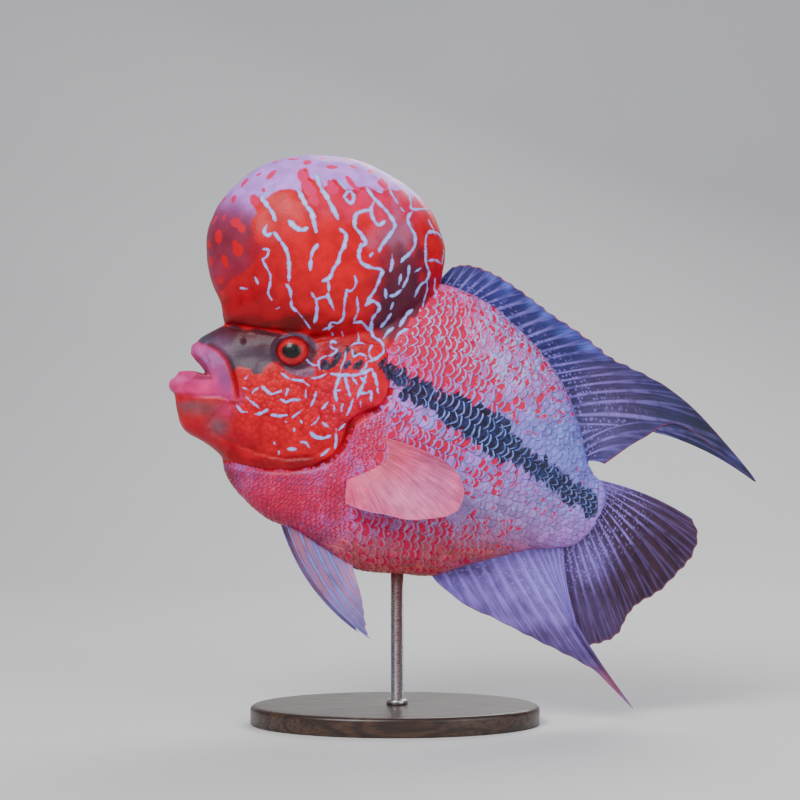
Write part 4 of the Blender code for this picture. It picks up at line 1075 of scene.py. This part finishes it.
def hide(name, scaled):
    """Fish skin, or a scale with the same ground colour, a red middle and a pale rim."""
    p = Paint(name, Coat_Weight=0.06, Coat_Roughness=0.15, Specular_IOR_Level=0.16)
    fine, patchy, soft = p.noise(1100.0, 3.0), p.noise(430.0, 2.0), p.noise(140.0, 2.0)
    small = p.number("MULTIPLY_ADD", fine, 0.5, -0.25)
    jitter = p.number("MULTIPLY_ADD", patchy, 1.1, p.number("ADD", small, -0.55))
    colour = p.brighter(p.attribute("tint", "Color"), p.step(soft, 0.25, 0.75, (0.80, 1.14)))
    streak = p.noise(1.0, 2.0, (420.0, 420.0, 190.0), lean=0.45)
    ink = p.number("ADD", p.attribute("ink"), p.number("MULTIPLY_ADD", streak, 4.4, -2.2))
    black = p.mix(p.step(patchy, 0.45, 0.65), "black", "navy")
    if scaled:
        edge = p.number("ADD", p.attribute("edge"), jitter)
        blot = p.noise(1.0, 2.0, (330.0, 330.0, 190.0), lean=0.45)
        share = p.number("ADD", p.attribute("red"), p.number("MULTIPLY_ADD", blot, 2.4, -1.7))
        middle = p.number("MULTIPLY", p.step(share, -0.12, 0.12), p.step(edge, 0.7, 1.3))
        colour = p.mix(middle, colour, "worm mark")
        dots = p.noise(1.0, 2.0, (520.0, 520.0, 380.0), lean=0.45)
        speck = p.number("ADD", p.attribute("speck"), p.number("MULTIPLY_ADD", dots, 2.4, -1.7))
        colour = p.mix(p.step(speck, -0.1, 0.14, (0.0, 0.9)), colour, p.attribute("rim_tint", "Color"))
        colour = p.mix(p.step(ink, -0.3, 0.3, (0.0, 0.97)), colour, black)
        broken = p.step(p.noise(300.0, 2.0), 0.34, 0.52, (0.25, 1.0))
        shown = p.number("MULTIPLY", p.attribute("rim"), broken)
        rim = p.number("MULTIPLY", p.step(edge, 1.05, 0.55), shown)
        rim_colour = p.brighter(p.attribute("rim_tint", "Color"), p.step(soft, 0.3, 0.7, (0.85, 1.15)))
        colour = p.mix(rim, colour, rim_colour)
        # Painted shade: each scale darkens along its free edge, where it lies over the next.
        colour = p.brighter(colour, p.step(p.attribute("edge"), 0.0, 0.3, (0.62, 1.0)))
        p.bump(p.number("MULTIPLY", fine, 0.6), 0.0002)
        return p.done(colour, p.step(fine, 0.2, 0.8, (0.34, 0.5)))
    cells = p.node("TexVoronoi", feature="F1")
    p.put(cells.inputs["Vector"], p.place)
    cells.inputs["Scale"].default_value = 470.0
    away, grain = cells.outputs["Distance"], p.attribute("grain")
    cell = p.number("MULTIPLY", p.step(away, 0.75, 0.25), grain)
    # Painted shade darkens the dips between the grains of the cheek.
    hollow_shade = p.number("MULTIPLY", p.step(away, 0.4, 0.8, (0.0, 0.26)), grain)
    colour = p.brighter(colour, p.number("SUBTRACT", 1.0, hollow_shade))
    colour = p.mix(p.step(ink, -0.3, 0.3, (0.0, 0.97)), colour, black)
    height = p.node("SeparateXYZ")
    p.put(height.inputs[0], p.place)
    spot = p.step(p.number("ADD", p.attribute("spot"), jitter), -0.45, 0.3)
    # The red spots turn pink towards the top of the hump, a painted sheen like the crown's lavender.
    colour = p.mix(spot, colour, p.mix(p.step(height.outputs[2], 0.222, 0.262), "red", "pink"))
    pale = p.number("ADD", p.attribute("pale"), jitter)
    line = p.step(pale, -0.22, 0.16)
    colour = p.mix(line, colour, p.mix(p.step(pale, 0.15, 1.1), "line blue", "line white"))
    lift = p.number("ADD", p.number("MULTIPLY", line, 0.5), p.number("MULTIPLY", cell, 0.9))
    p.bump(p.number("MULTIPLY_ADD", fine, 0.4, lift), 0.00025)
    return p.done(colour, p.step(fine, 0.2, 0.8, (0.34, 0.5)))


skin.data.materials.clear()
skin.data.materials.append(hide("skin", False))
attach(skin, "root")
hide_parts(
    "head", "lower_jaw", "nuchal_hump", "gill_cover_left", "gill_cover_right", "torso", "tail_stalk",
)


# The scales
class Sheet:
    """The trunk's surface unrolled: millimetres back along its middle line, and up round its side."""

    def __init__(self):
        self.t = np.linspace(0, len(TRUNK) - 1, 241)
        self.angle = np.linspace(-math.pi, math.pi, 361)
        self.grid = section_points(TRUNK, self.t, self.angle, TRUNK_EGG, INSET, False)
        steps = np.linalg.norm(np.diff(self.grid, axis=1), axis=2)
        self.arc = np.hstack([np.zeros((len(self.t), 1)), np.cumsum(steps, axis=1)])
        self.arc -= self.arc[:, [180]]
        middle = (self.grid[:, 180] + self.grid[:, 0]) / 2
        self.back = np.concatenate([[0], np.cumsum(np.linalg.norm(np.diff(middle, axis=0), axis=1))])

    def places(self, q, s, side):
        """Points at q back and s up on one side, and their places on the unrolled skin from 0 to 1."""
        k = np.clip(np.interp(q, self.back, np.arange(len(self.t))), 0, len(self.t) - 1.001)
        low = np.floor(k).astype(int)
        out, unrolled = np.zeros((len(q), 3)), np.zeros((len(q), 2))
        for row in np.unique(low):
            pick = low == row
            f = (k[pick] - row)[:, None]
            for share, r in ((1 - f, row), (f, row + 1)):
                a = np.interp(s[pick], self.arc[r], self.angle)
                place = [np.interp(a, self.angle, self.grid[r, :, c]) for c in range(3)]
                out[pick] += share * np.stack(place, 1)
            unrolled[pick, 1] = side * a / (2 * math.pi)
        out[:, 1] *= side
        out[:, 1] += sway(out[:, 0])
        unrolled[:, 0] = q / self.back[-1]
        unrolled[:, 1] = unrolled[:, 1] % 1.0
        return out, unrolled * 0.99


def plate_faces(across, down):
    """Triangles of one closed plate: an upper grid, a lower grid and the rim between them."""
    n, faces = across * down, []
    for i in range(across - 1):
        for j in range(down - 1):
            a, b, c, d = i * down + j, (i + 1) * down + j, (i + 1) * down + j + 1, i * down + j + 1
            faces += [(a, b, c), (a, c, d), (n + b, n + a, n + c), (n + c, n + a, n + d)]
    rim = [i * down for i in range(across)] + [(across - 1) * down + j for j in range(1, down)]
    rim += [i * down + down - 1 for i in range(across - 2, -1, -1)] + list(range(down - 2, 0, -1))
    for a, b in zip(rim, rim[1:] + rim[:1]):
        faces += [(a, n + a, n + b), (a, n + b, b)]
    return np.array(faces)


def lie(q, s, side):
    """How far each scale turns up from the sheet's own direction, in radians."""
    ahead, _ = sheet.places(q + 1.0, s, side)
    behind, _ = sheet.places(q - 1.0, s, side)
    way = ahead - behind
    u, v = drawn((ahead + behind) / 2)
    wanted = np.full(len(q), float(FLOW_BESIDE))
    for angle, cu, cv, ru, rv in FLOW:
        wanted += (angle - wanted) * near_patch(u, v, cu, cv, ru, rv)
    return np.arctan2(-way[:, 2], way[:, 0]) - np.radians(wanted)


SCALE_GRID = ((8, 7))
PATCH = 0.003


def scales(name, side, pitch, narrower, area, lift, seed):
    """Overlapping scales in staggered rows on one side, laid on the skin from head to tail."""
    draw = random.Random(seed)
    roots = []
    for row in range(-40, 41):
        q = 1.0 + 0.5 * pitch * (row % 2)
        while q < sheet.back[-1] - 1.0:
            gap = narrower * float(np.interp(q, *zip(*(UP_GAP if row > 0 else DOWN_GAP))))
            near = pitch * (1 - 0.22 * q / sheet.back[-1])
            at = q + draw.gauss(0, 0.07 * near)
            roots.append((at, row * gap + draw.gauss(0, 0.05 * gap), near, gap))
            q += near
    roots = np.array(roots)
    k = np.interp(roots[:, 0], sheet.back, np.arange(len(sheet.t))).round().astype(int)
    top = int(np.interp(math.pi / 2, sheet.angle, np.arange(361)))
    below_back, above_belly = sheet.arc[k, top] - 1.5, sheet.arc[k, 360 - top] + 0.5
    roots = roots[(roots[:, 1] < below_back) & (roots[:, 1] > above_belly)]
    middle, _ = sheet.places(roots[:, 0], roots[:, 1], side)
    roots = roots[area(*drawn(middle))]
    across, down = SCALE_GRID
    grid = np.meshgrid(np.linspace(0, 1, across), np.linspace(-1, 1, down), indexing="ij")
    a, b = [g.ravel() for g in grid]
    size = 1 + np.array([[draw.gauss(0, 0.05)] for _ in roots])
    wavy = np.array([[draw.gauss(0, 0.07), draw.uniform(0, 6.3)] for _ in roots])
    length = 2.1 * roots[:, 2:3] * size
    length = length * (1 - 0.26 * np.abs(b) ** 2.2 + wavy[:, :1] * np.sin(2.6 * b + wavy[:, 1:]))
    half = 0.60 * roots[:, 3:4] * size * (1 - 0.10 * a)
    along_it, across_it = a * length - 1.1 * roots[:, 2:3], b * half
    turn = lie(roots[:, 0], roots[:, 1], side)[:, None]
    q = roots[:, 0:1] + along_it * np.cos(turn) - across_it * np.sin(turn)
    s = roots[:, 1:2] + along_it * np.sin(turn) + across_it * np.cos(turn)
    points, unrolled = sheet.places(q.ravel(), s.ravel(), side)
    n, many = len(a), len(roots)
    found = [skin_tree.find_nearest(Vector(p) * MM) for p in points]
    places = np.array([f[0] for f in found]) / MM
    normals = np.array([f[1] for f in found])
    slip = np.linalg.norm(places - points, axis=1).reshape(many, n).max(1)
    rise = -0.14 + lift * a + 0.12 * lift * (1 - b**2) * a
    upper = places.reshape(many, n, 3) + normals.reshape(many, n, 3) * rise[None, :, None]
    lower = upper - normals.reshape(many, n, 3) * 0.2
    keep = slip < 1.5
    upper, lower, many = upper[keep], lower[keep], int(keep.sum())
    both = np.concatenate([upper, lower], axis=1).reshape(-1, 3)
    faces = (plate_faces(across, down)[None] + (np.arange(many) * 2 * n)[:, None, None]).reshape(-1, 3)
    if side < 0:
        faces = faces[:, ::-1]
    obj = make(name, both, faces)
    centre = upper[:, (across // 2) * down + down // 2]
    cu, cv = drawn(centre)
    tint = markings(centre, cu, cv) * np.array([[draw.uniform(0.84, 1.16)] for _ in range(many)])
    edge = ((1 - a) * length[keep]).reshape(many, n)
    top_points = upper.reshape(-1, 3)
    ink = inked(top_points, *drawn(top_points)).reshape(many, n)
    red = strength(cu, cv, REDS) * np.array([draw.uniform(0.75, 1.15) for _ in range(many)])

    def doubled(values):
        return np.concatenate([values, values], axis=1).ravel()

    def each(values):
        return np.repeat(values, 2 * n, axis=0)

    give(
        obj, tint=each(tint), rim_tint=each(patched(cu, cv, "rim blue", RIM_TINTS)), edge=doubled(edge),
        rim=each(strength(cu, cv, RIMS)), red=each(red), ink=doubled(ink),
        speck=each(strength(cu, cv, SPECKS)),
    )
    patch = np.stack([a, (b + 1) / 2], 1) * PATCH
    root_place = unrolled.reshape(-1, n, 2)[keep][:, :1]
    corner = np.tile(root_place + patch[None], (1, 2, 1)).reshape(-1, 2)
    layer = obj.data.uv_layers.new(name="OFBake")
    loops = np.empty(len(obj.data.loops), np.int32)
    obj.data.loops.foreach_get("vertex_index", loops)
    layer.data.foreach_set("uv", corner[loops].astype(np.float32).ravel())
    obj.data.materials.append(scale_paint)
    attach(obj, "root")
    return obj


sheet = Sheet()
scale_paint = hide("scale", True)


def main_area(u, v):
    return inside(u, v, BODY_AREA) & ~inside(u, v, BREAST_AREA)


def breast_area(u, v):
    return inside(u, v, BREAST_AREA) & inside(u, v, BODY_AREA)


for side, word in ((-1, "left"), (1, "right")):
    scales(f"scales_{word}", side, 3.6, 0.84, main_area, 0.44, 21 + side)
    scales(f"breast_scales_{word}", side, 2.2, 0.36, breast_area, 0.3, 31 + side)


# The fins
def trunk_edge(span, back, away):
    """The trunk's back or belly line between two stations, moved out by some millimetres."""
    def at(u):
        t = span[0] + (span[1] - span[0]) * u
        pick = slice(0, 2) if back else slice(2, 4)
        here = along(TRUNK, t)[:, pick]
        ahead = along(TRUNK, t + 0.02)[:, pick] - here
        out = np.stack([-ahead[:, 1], ahead[:, 0]], 1) * (1 if back else -1)
        here = here + away * out / np.linalg.norm(out, axis=1, keepdims=True)
        return np.stack([here[:, 0], 0 * u, here[:, 1]], 1)
    return at


def line(rows, lift):
    def at(u):
        xz = along(rows, u * (len(rows) - 1))
        return np.stack([xz[:, 0], lift(u), xz[:, 1]], 1)
    return at


def fin(name, root, tips, rays, bulge, halves, notch, start, tints, look, split=0.45, wave=0.3):
    """A thin fin: bent rays raised on both faces, parting towards the edge, with a membrane between."""
    per, rows = ((12, 84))
    u = np.linspace(0, 1, (rays - 1) * per + 1)
    a, b = root(u), tips(u)
    across = np.stack([-(b - a)[:, 2], 0 * u, (b - a)[:, 0]], 1)
    bend = (a + b) / 2 + bulge(u)[:, None] * across
    ray = u * (rays - 1)
    off = (ray + 0.5) % 1 - 0.5
    end = 1 - notch(u) * (0.5 - 0.5 * np.cos(2 * math.pi * off)) ** 0.8
    share = np.linspace(0, 1, rows + 1)
    v = start + (end[:, None] - start) * share[None, :]
    mid = np.zeros((len(u), rows + 1, 3))
    for weight, p in (((1 - v) ** 2, a), (2 * v * (1 - v), bend), (v * v, b)):
        mid += weight[..., None] * p[:, None, :]
    du, dv = np.gradient(mid, axis=0), np.gradient(mid, axis=1)
    normal = np.cross(du, dv)
    normal /= np.linalg.norm(normal, axis=2, keepdims=True)
    parted = np.clip((v - split) / (1 - split), 0, 1) * (split < 1)
    twin = 0.24 * parted**0.8
    width = 0.15 - 0.06 * parted
    ridge = np.maximum(
        np.exp(-(((off[:, None] - twin) / width) ** 2)), np.exp(-(((off[:, None] + twin) / width) ** 2))
    )
    stem, web = halves
    fade = 1 - 0.62 * np.clip(v, 0, 1)
    thick = (web + (stem - web) * ridge * (1 - 0.25 * parted)) * fade
    thick *= 0.35 + 0.65 * smooth((1 - share) * 16)[None, :]
    flutter = wave * np.sin(ray[:, None] * 2.1 + 3 * v) * smooth(v, 0.15, 0.8)
    mid = mid + normal * (flutter * np.sin(math.pi * u)[:, None])[..., None]
    lift = normal * thick[..., None]
    points = np.vstack([(mid + lift).reshape(-1, 3), (mid - lift).reshape(-1, 3)])
    points[:, 1] += sway(points[:, 0])
    obj = make(name + "_visual", points, plate_faces(len(u), rows + 1))
    face_out(obj)
    fu, fv = drawn(points)
    length = np.linalg.norm(b - a, axis=1)[:, None] * v

    def both(values):
        return np.tile(np.broadcast_to(values, v.shape).ravel(), 2)

    give(
        obj, tint=patched(fu, fv, *tints), ridge=both(ridge), ray=both(ray[:, None]), run=both(length),
        edge=both((1 - share)[None, :] * np.linalg.norm(b - a, axis=1)[:, None]), far=both(v),
    )
    obj.data.materials.append(look)
    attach(obj, "root")
    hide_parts(name)
    return obj


def fin_paint(name, ray_colour, glow, fade, dots, edge_colour, web="filament"):
    """Fin skin: rays that stand out near the root, rows of dots, mottling and a thin coloured edge."""
    p = Paint(name, Coat_Weight=0.05, Coat_Roughness=0.2, Specular_IOR_Level=0.16)
    where = p.node("CombineXYZ")
    p.put(where.inputs[0], p.attribute("ray"))
    p.put(where.inputs[1], p.attribute("run"))
    lie = where.outputs[0]
    fine, soft = p.noise(700.0, 3.0), p.noise(110.0, 2.0)
    colour = p.brighter(p.attribute("tint", "Color"), p.step(soft, 0.25, 0.75, (0.8, 1.2)))
    streak = p.noise(1.0, 2.0, (5.0, 0.10, 1.0), place=lie)
    colour = p.brighter(colour, p.step(streak, 0.3, 0.7, (0.78, 1.2)))
    ridge, far = p.attribute("ridge"), p.attribute("far")
    stretch = p.noise(1.0, 1.0, (1.1, 0.16, 1.0), place=lie)
    shown = p.number("MULTIPLY", p.step(ridge, 0.25, 0.75), p.step(far, fade[1], fade[0], (0.12, glow)))
    shown = p.number("MULTIPLY", shown, p.step(stretch, 0.30, 0.55, (0.35, 1.0)))
    dark = p.step(far, fade[1], fade[0], (0.0, 0.45 * glow))
    between = p.number("MULTIPLY", p.step(ridge, 0.3, 0.0), dark)
    colour = p.mix(between, colour, web)
    colour = p.mix(shown, colour, ray_colour)
    cells = p.node("TexVoronoi", feature="F1")
    grid = p.node("Mapping")
    p.put(grid.inputs["Vector"], lie)
    grid.inputs["Scale"].default_value = (2.2, 0.6, 1.0)
    p.put(cells.inputs["Vector"], grid.outputs[0])
    cells.inputs["Scale"].default_value = 1.0
    cells.inputs["Randomness"].default_value = 0.55
    dotted = p.step(far, dots[1], dots[0], (0.0, dots[2]))
    dot = p.number("MULTIPLY", p.step(cells.outputs["Distance"], 0.42, 0.24), dotted)
    colour = p.mix(dot, colour, ray_colour)
    colour = p.mix(p.step(p.attribute("edge"), 0.9, 0.25, (0.0, 0.85)), colour, edge_colour)
    p.bump(p.number("MULTIPLY_ADD", fine, 0.5, p.number("MULTIPLY", streak, 0.8)), 0.00015)
    return p.done(colour, p.step(fine, 0.2, 0.8, (0.36, 0.52)))


def constant(value):
    return lambda u: value + 0 * u


DORSAL_TINTS = (
    "dorsal",
    [
        ("royal", 520, 292, 110, 16, 0.6), ("sky", 508, 284, 6, 8, 0.7), ("sky", 534, 301, 7, 9, 0.7),
        ("sky", 492, 275, 6, 6, 0.6), ("sky", 548, 314, 8, 8, 0.6), ("sky", 570, 332, 14, 7, 0.6),
        ("sky", 592, 346, 12, 6, 0.6), ("sky", 606, 357, 8, 6, 0.5), ("soft", 612, 408, 52, 44, 0.95),
        ("soft", 600, 372, 26, 14, 0.7), ("soft lit", 600, 430, 26, 34, 0.6),
        ("filament", 668, 402, 34, 26, 0.45), ("filament", 705, 440, 42, 40, 0.9),
        ("filament", 750, 478, 26, 16, 0.8),
    ],
)
ANAL_TINTS = (
    "anal",
    [
        ("ray", 540, 590, 40, 30, 0.35), ("anal out", 500, 612, 60, 10, 0.5),
        ("anal out", 545, 640, 46, 20, 0.85), ("tail out", 590, 665, 34, 26, 0.7),
        ("royal", 452, 588, 12, 10, 0.35), ("tail in", 462, 570, 30, 6, 0.6),
        ("orange brown", 612, 690, 22, 24, 0.8),
    ],
)
TAIL_TINTS = (
    "tail in",
    [
        ("ray", 618, 486, 26, 10, 0.35), ("tail out", 660, 560, 46, 50, 0.9),
        ("tail out", 640, 590, 34, 30, 0.6), ("ray", 590, 560, 22, 26, 0.35),
        ("anal out", 590, 615, 34, 26, 0.9), ("tail out", 624, 596, 18, 30, 0.5),
        ("anal out", 640, 500, 30, 14, 0.4),
    ],
)
PECTORAL_TINTS = (
    "pectoral",
    [
        ("pectoral warm", 375, 455, 24, 20, 0.7), ("pectoral lilac", 420, 500, 50, 26, 0.8),
        ("pectoral lilac", 440, 470, 26, 26, 0.6),
    ],
)
PELVIC_TINTS = (
    "pelvic",
    [
        ("pelvic brown", 298, 545, 12, 26, 0.9), ("pelvic brown", 318, 588, 14, 20, 0.7),
        ("pelvic pink", 352, 580, 12, 34, 0.7), ("pelvic", 345, 610, 10, 16, 0.6),
    ],
)

dorsal_paint = fin_paint("dorsal_skin", "ray", 0.52, (0.2, 0.9), (0.0, 0.6, 0.5), "edge red")
fin(
    "dorsal_fin", trunk_edge(DORSAL_ROOT, True, 0.0),
    line(DORSAL_TIPS, lambda u: 2.4 * np.sin(3.2 * math.pi * u + 0.4)), 28,
    lambda u: 0.03 + 0.16 * smooth(u, 0.55, 0.85), (0.62, 0.22),
    lambda u: 0.045 * (1 - smooth(u, 0.6, 0.7)), -0.05, DORSAL_TINTS, dorsal_paint, split=0.5,
)
anal_paint = fin_paint(
    "anal_skin", "ray", 0.6, (0.3, 1.0), (0.15, 0.7, 0.5), "orange brown", "anal out",
)
fin(
    "anal_fin", trunk_edge(ANAL_ROOT, False, 0.0), line(ANAL_TIPS, lambda u: -1.5 - 3.5 * u), 15,
    lambda u: -0.02 - 0.05 * u, (0.6, 0.22), constant(0.02), -0.05, ANAL_TINTS, anal_paint,
)
tail_paint = fin_paint(
    "tail_skin", "ray", 0.6, (0.25, 0.62), (0.1, 0.6, 0.6), "pelvic brown", "tail web",
)
fin(
    "tail_fin", line(TAIL_ROOT, constant(0.0)), line(TAIL_TIPS, lambda u: 2.0 * np.sin(3.0 * u) + 4.0 * u),
    16, lambda u: 0.09 - 0.13 * u, (0.62, 0.22), constant(0.015), -0.07, TAIL_TINTS, tail_paint,
)
NO_DOTS = (0.0, 0.1, 0.0)
pectoral_paint = fin_paint(
    "pectoral_skin", "pectoral lilac", 0.4, (0.2, 0.9), NO_DOTS, "pectoral lilac", "pectoral",
)
pelvic_paint = fin_paint(
    "pelvic_skin", "pelvic blue", 0.8, (0.5, 1.3), NO_DOTS, "pelvic pink", "pelvic pink",
)
for side, word in ((-1, "left"), (1, "right")):
    fin(
        f"pectoral_fin_{word}", line(PECTORAL_ROOT, constant(side * 18.8)),
        line(PECTORAL_TIPS, lambda u: side * along([[36.0], [35.0], [32.0]], 2 * u)[:, 0]), 12,
        lambda u: 0.10 - 0.16 * u, (0.32, 0.18), constant(0.004), 0.0, PECTORAL_TINTS, pectoral_paint,
    )
    ahead = 0.0 if side < 0 else -3.0
    fin(
        f"pelvic_fin_{word}", line([(x + ahead, z + 1) for x, z in PELVIC_ROOT], constant(side * 4.6)),
        line(
            [(x + 2 * ahead, z + 1) for x, z in PELVIC_TIPS],
            lambda u: side * along([[14.0], [13.0], [11.0]], 2 * u)[:, 0],
        ),
        6, lambda u: -0.17 + 0.15 * u, (0.7, 0.24), constant(0.02), -0.03, PELVIC_TINTS, pelvic_paint,
    )


# The eyes
EYE_RADIUS = 8.6


def eye_paint():
    p = Paint("eye", Coat_Weight=0.3, Coat_Roughness=0.03, Specular_IOR_Level=0.2)
    fibre = p.noise(1.0, 2.0, (9.0, 0.5, 1.0), place=eye_lie(p))
    colour = p.mix(p.step(p.attribute("iris"), -0.5, 1.4), "iris dark", "iris")
    colour = p.mix(p.step(fibre, 0.35, 0.7, (0.0, 0.5)), colour, "iris dark")
    colour = p.mix(p.step(p.attribute("pupil"), -1.2, -0.1, (0.0, 0.75)), colour, "iris dark")
    colour = p.mix(p.step(p.attribute("pupil"), -0.25, 0.1), colour, "pupil")
    p.bump(fibre, 0.0001)
    return p.done(colour, 0.4)


def eye_lie(p):
    where = p.node("CombineXYZ")
    p.put(where.inputs[0], p.attribute("turn"))
    p.put(where.inputs[1], p.attribute("pupil"))
    return where.outputs[0]


def eye(node, side, look):
    """An eyeball with its pole to the side, marked with the distance into pupil and iris."""
    centre = box_middle(node)
    rings, around = ((60, 120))
    polar = np.linspace(0, math.pi, rings + 2)[1:-1]
    turn = np.arange(around) * 2 * math.pi / around
    x = np.sin(polar)[:, None] * np.cos(turn)[None]
    z = np.sin(polar)[:, None] * np.sin(turn)[None]
    y = side * np.cos(polar)[:, None] * np.ones_like(x)
    points = np.stack([x, y, z], -1).reshape(-1, 3) * EYE_RADIUS
    points = np.vstack([points, [(0, side * EYE_RADIUS, 0), (0, -side * EYE_RADIUS, 0)]])
    faces = wrapped(rings, around, len(points) - 2, len(points) - 1)
    obj = make(node + "_visual", points + centre, faces)
    face_out(obj)
    dx, dz = points[:, 0] + 0.4, points[:, 2] - 0.1
    pupil = 3.5 - np.hypot(dx * (3.5 / 4.0) * np.where(dx < 0, 0.94, 1.0), dz * (3.5 / 3.15))
    iris = 7.4 - np.hypot(points[:, 0], points[:, 2] * 1.2)
    give(obj, pupil=pupil, iris=iris, turn=np.arctan2(dz, np.abs(dx)))
    obj.data.materials.append(look)
    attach(obj, "root")
    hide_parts(node)


eye_look = eye_paint()
eye("eye_left", -1, eye_look)
eye("eye_right", 1, eye_look)


# The stand
def turned(name, profile, stretch, centre, around=160):
    """A round piece turned about an upright line and drawn out along X."""
    a = np.arange(around) * 2 * math.pi / around
    rows = np.array(profile)
    points = np.stack([
        rows[:, 0][:, None] * np.cos(a)[None] * stretch + centre, rows[:, 0][:, None] * np.sin(a)[None],
        rows[:, 1][:, None] * np.ones(around)[None],
    ], -1).reshape(-1, 3)
    points = np.vstack([points, [(centre, 0, rows[0, 1]), (centre, 0, rows[-1, 1])]])
    return face_out(make(name, points, wrapped(len(rows), around, len(points) - 2, len(points) - 1)))


def wood_paint():
    p = Paint("stained_wood", Coat_Weight=0.35, Coat_Roughness=0.22, Specular_IOR_Level=0.4)
    wave = p.noise(9.0, 3.0, (1.0, 4.0, 4.0))
    grain = p.noise(1.0, 6.0, (60.0, 900.0, 900.0))
    rings = p.number("SINE", p.number("MULTIPLY", wave, 60.0))
    colour = p.mix(p.step(rings, -1.0, 1.0), "wood dark", "wood")
    colour = p.mix(p.step(grain, 0.45, 0.62, (0.0, 0.6)), colour, "wood pore")
    p.bump(grain, 0.0001)
    return p.done(colour, p.step(grain, 0.3, 0.7, (0.36, 0.5)))


def steel_paint():
    p = Paint("brushed_steel", Metallic=1.0)
    lines = p.noise(1.0, 4.0, (400.0, 400.0, 6000.0))
    colour = p.mix(p.step(lines, 0.3, 0.7), "steel dark", "steel")
    p.bump(lines, 0.00003)
    return p.done(colour, p.step(lines, 0.3, 0.7, (0.24, 0.42)))


def stand():
    """An oval wooden base with eased edges, and a brushed rod up into the belly."""
    lo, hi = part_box("stand_base")
    half_x, half_y, high = (hi[0] - lo[0]) / 2 / MM, (hi[1] - lo[1]) / 2 / MM, hi[2] / MM
    ease, low_ease = 2.0, 0.8
    out, up = half_y - ease, high - ease
    turn = np.linspace(0, math.pi / 2, 9)
    corner = [(out + ease * math.sin(t), up + ease * math.cos(t)) for t in turn]
    out = half_y - low_ease
    foot = [(out + low_ease * math.cos(t), low_ease * (1 - math.sin(t))) for t in turn[::2]]
    inner = [(half_y * k, high) for k in (0.3, 0.6, 0.85)]
    profile = [(3.3, high)] + inner + corner + foot + [(half_y * 0.5, 0.0)]
    base = turned("stand_base_visual", profile, half_x / half_y, 0.0)
    base.data.materials.append(wood_paint())
    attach(base, "root")
    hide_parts("stand_base")
    lo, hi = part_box("stand_rod")
    radius, centre = (hi[1] - lo[1]) / 2 / MM, (hi[0] + lo[0]) / 2 / MM
    rows = [(radius, lo[2] / MM), (radius, hi[2] / MM)]
    collar = [(0.0, 2.6), (1.6, 2.4), (2.0, 1.8), (2.0, 0.0), (0.0, 0.0)]
    collar = [(radius + wider, high + above) for wider, above in collar]
    rod = turned("stand_rod_visual", rows[:1] + collar[::-1] + rows[1:], 1.0, centre, 64)
    rod.data.materials.append(steel_paint())
    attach(rod, "root")
    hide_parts("stand_rod")


stand()

# The camera, the floor and the lights
camera = bpy.data.objects.new("camera", bpy.data.cameras.new("camera"))
camera.data.lens = 100
camera.data.sensor_width = 36
camera.data.clip_start = 0.05
camera.location = (LOOK[0] * MM, -EYE_Y * MM, LOOK[1] * MM)
camera.rotation_euler = (math.pi / 2, 0, 0)
bpy.context.scene.collection.objects.link(camera)
bpy.context.scene.camera = camera


def floor():
    """A pale floor that curves up behind."""
    front, bend_from, bend, top, half_wide = -3.0, 0.8, 0.5, 3.0, 4.0
    rows = [(front, 0.0), (bend_from, 0.0)]
    for a in np.linspace(0.1, math.pi / 2, 14):
        rows.append((bend_from + bend * math.sin(a), bend - bend * math.cos(a)))
    rows.append((bend_from + bend, top))
    points = [(x, y, z) for x in (-half_wide, half_wide) for y, z in rows]
    n = len(rows)
    obj = make("floor", points, [(i, i + 1, n + i + 1, n + i) for i in range(n - 1)], millimetres=False)
    p = Paint("floor_paint", Specular_IOR_Level=0.3)
    cloud = p.noise(3.0, 3.0)
    obj.data.materials.append(p.done(p.mix(p.step(cloud, 0.2, 0.8), "floor", "floor lit"), 0.75))


def lamp(name, place, aim, size, watts, tint=(1, 1, 1)):
    light = bpy.data.lights.new(name, "AREA")
    light.size = size
    light.energy = watts
    light.color = tint
    obj = bpy.data.objects.new(name, light)
    obj.location = place
    obj.rotation_euler = (Vector(aim) - Vector(place)).to_track_quat("-Z", "Y").to_euler()
    bpy.context.scene.collection.objects.link(obj)


floor()
lamp("key", (-0.5, -0.9, 1.0), (0, 0, 0.15), 0.6, 19)
lamp("fill", (0.9, -0.8, 0.5), (0, 0, 0.15), 0.9, 7)
lamp("back", (0.3, 0.8, 0.9), (0, 0, 0.15), 0.7, 10)
world = bpy.data.worlds.new("world")
bpy.context.scene.world = world
world.use_nodes = True
world.node_tree.nodes["Background"].inputs["Color"].default_value = (0.9, 0.93, 1.0, 1)
world.node_tree.nodes["Background"].inputs["Strength"].default_value = 0.25
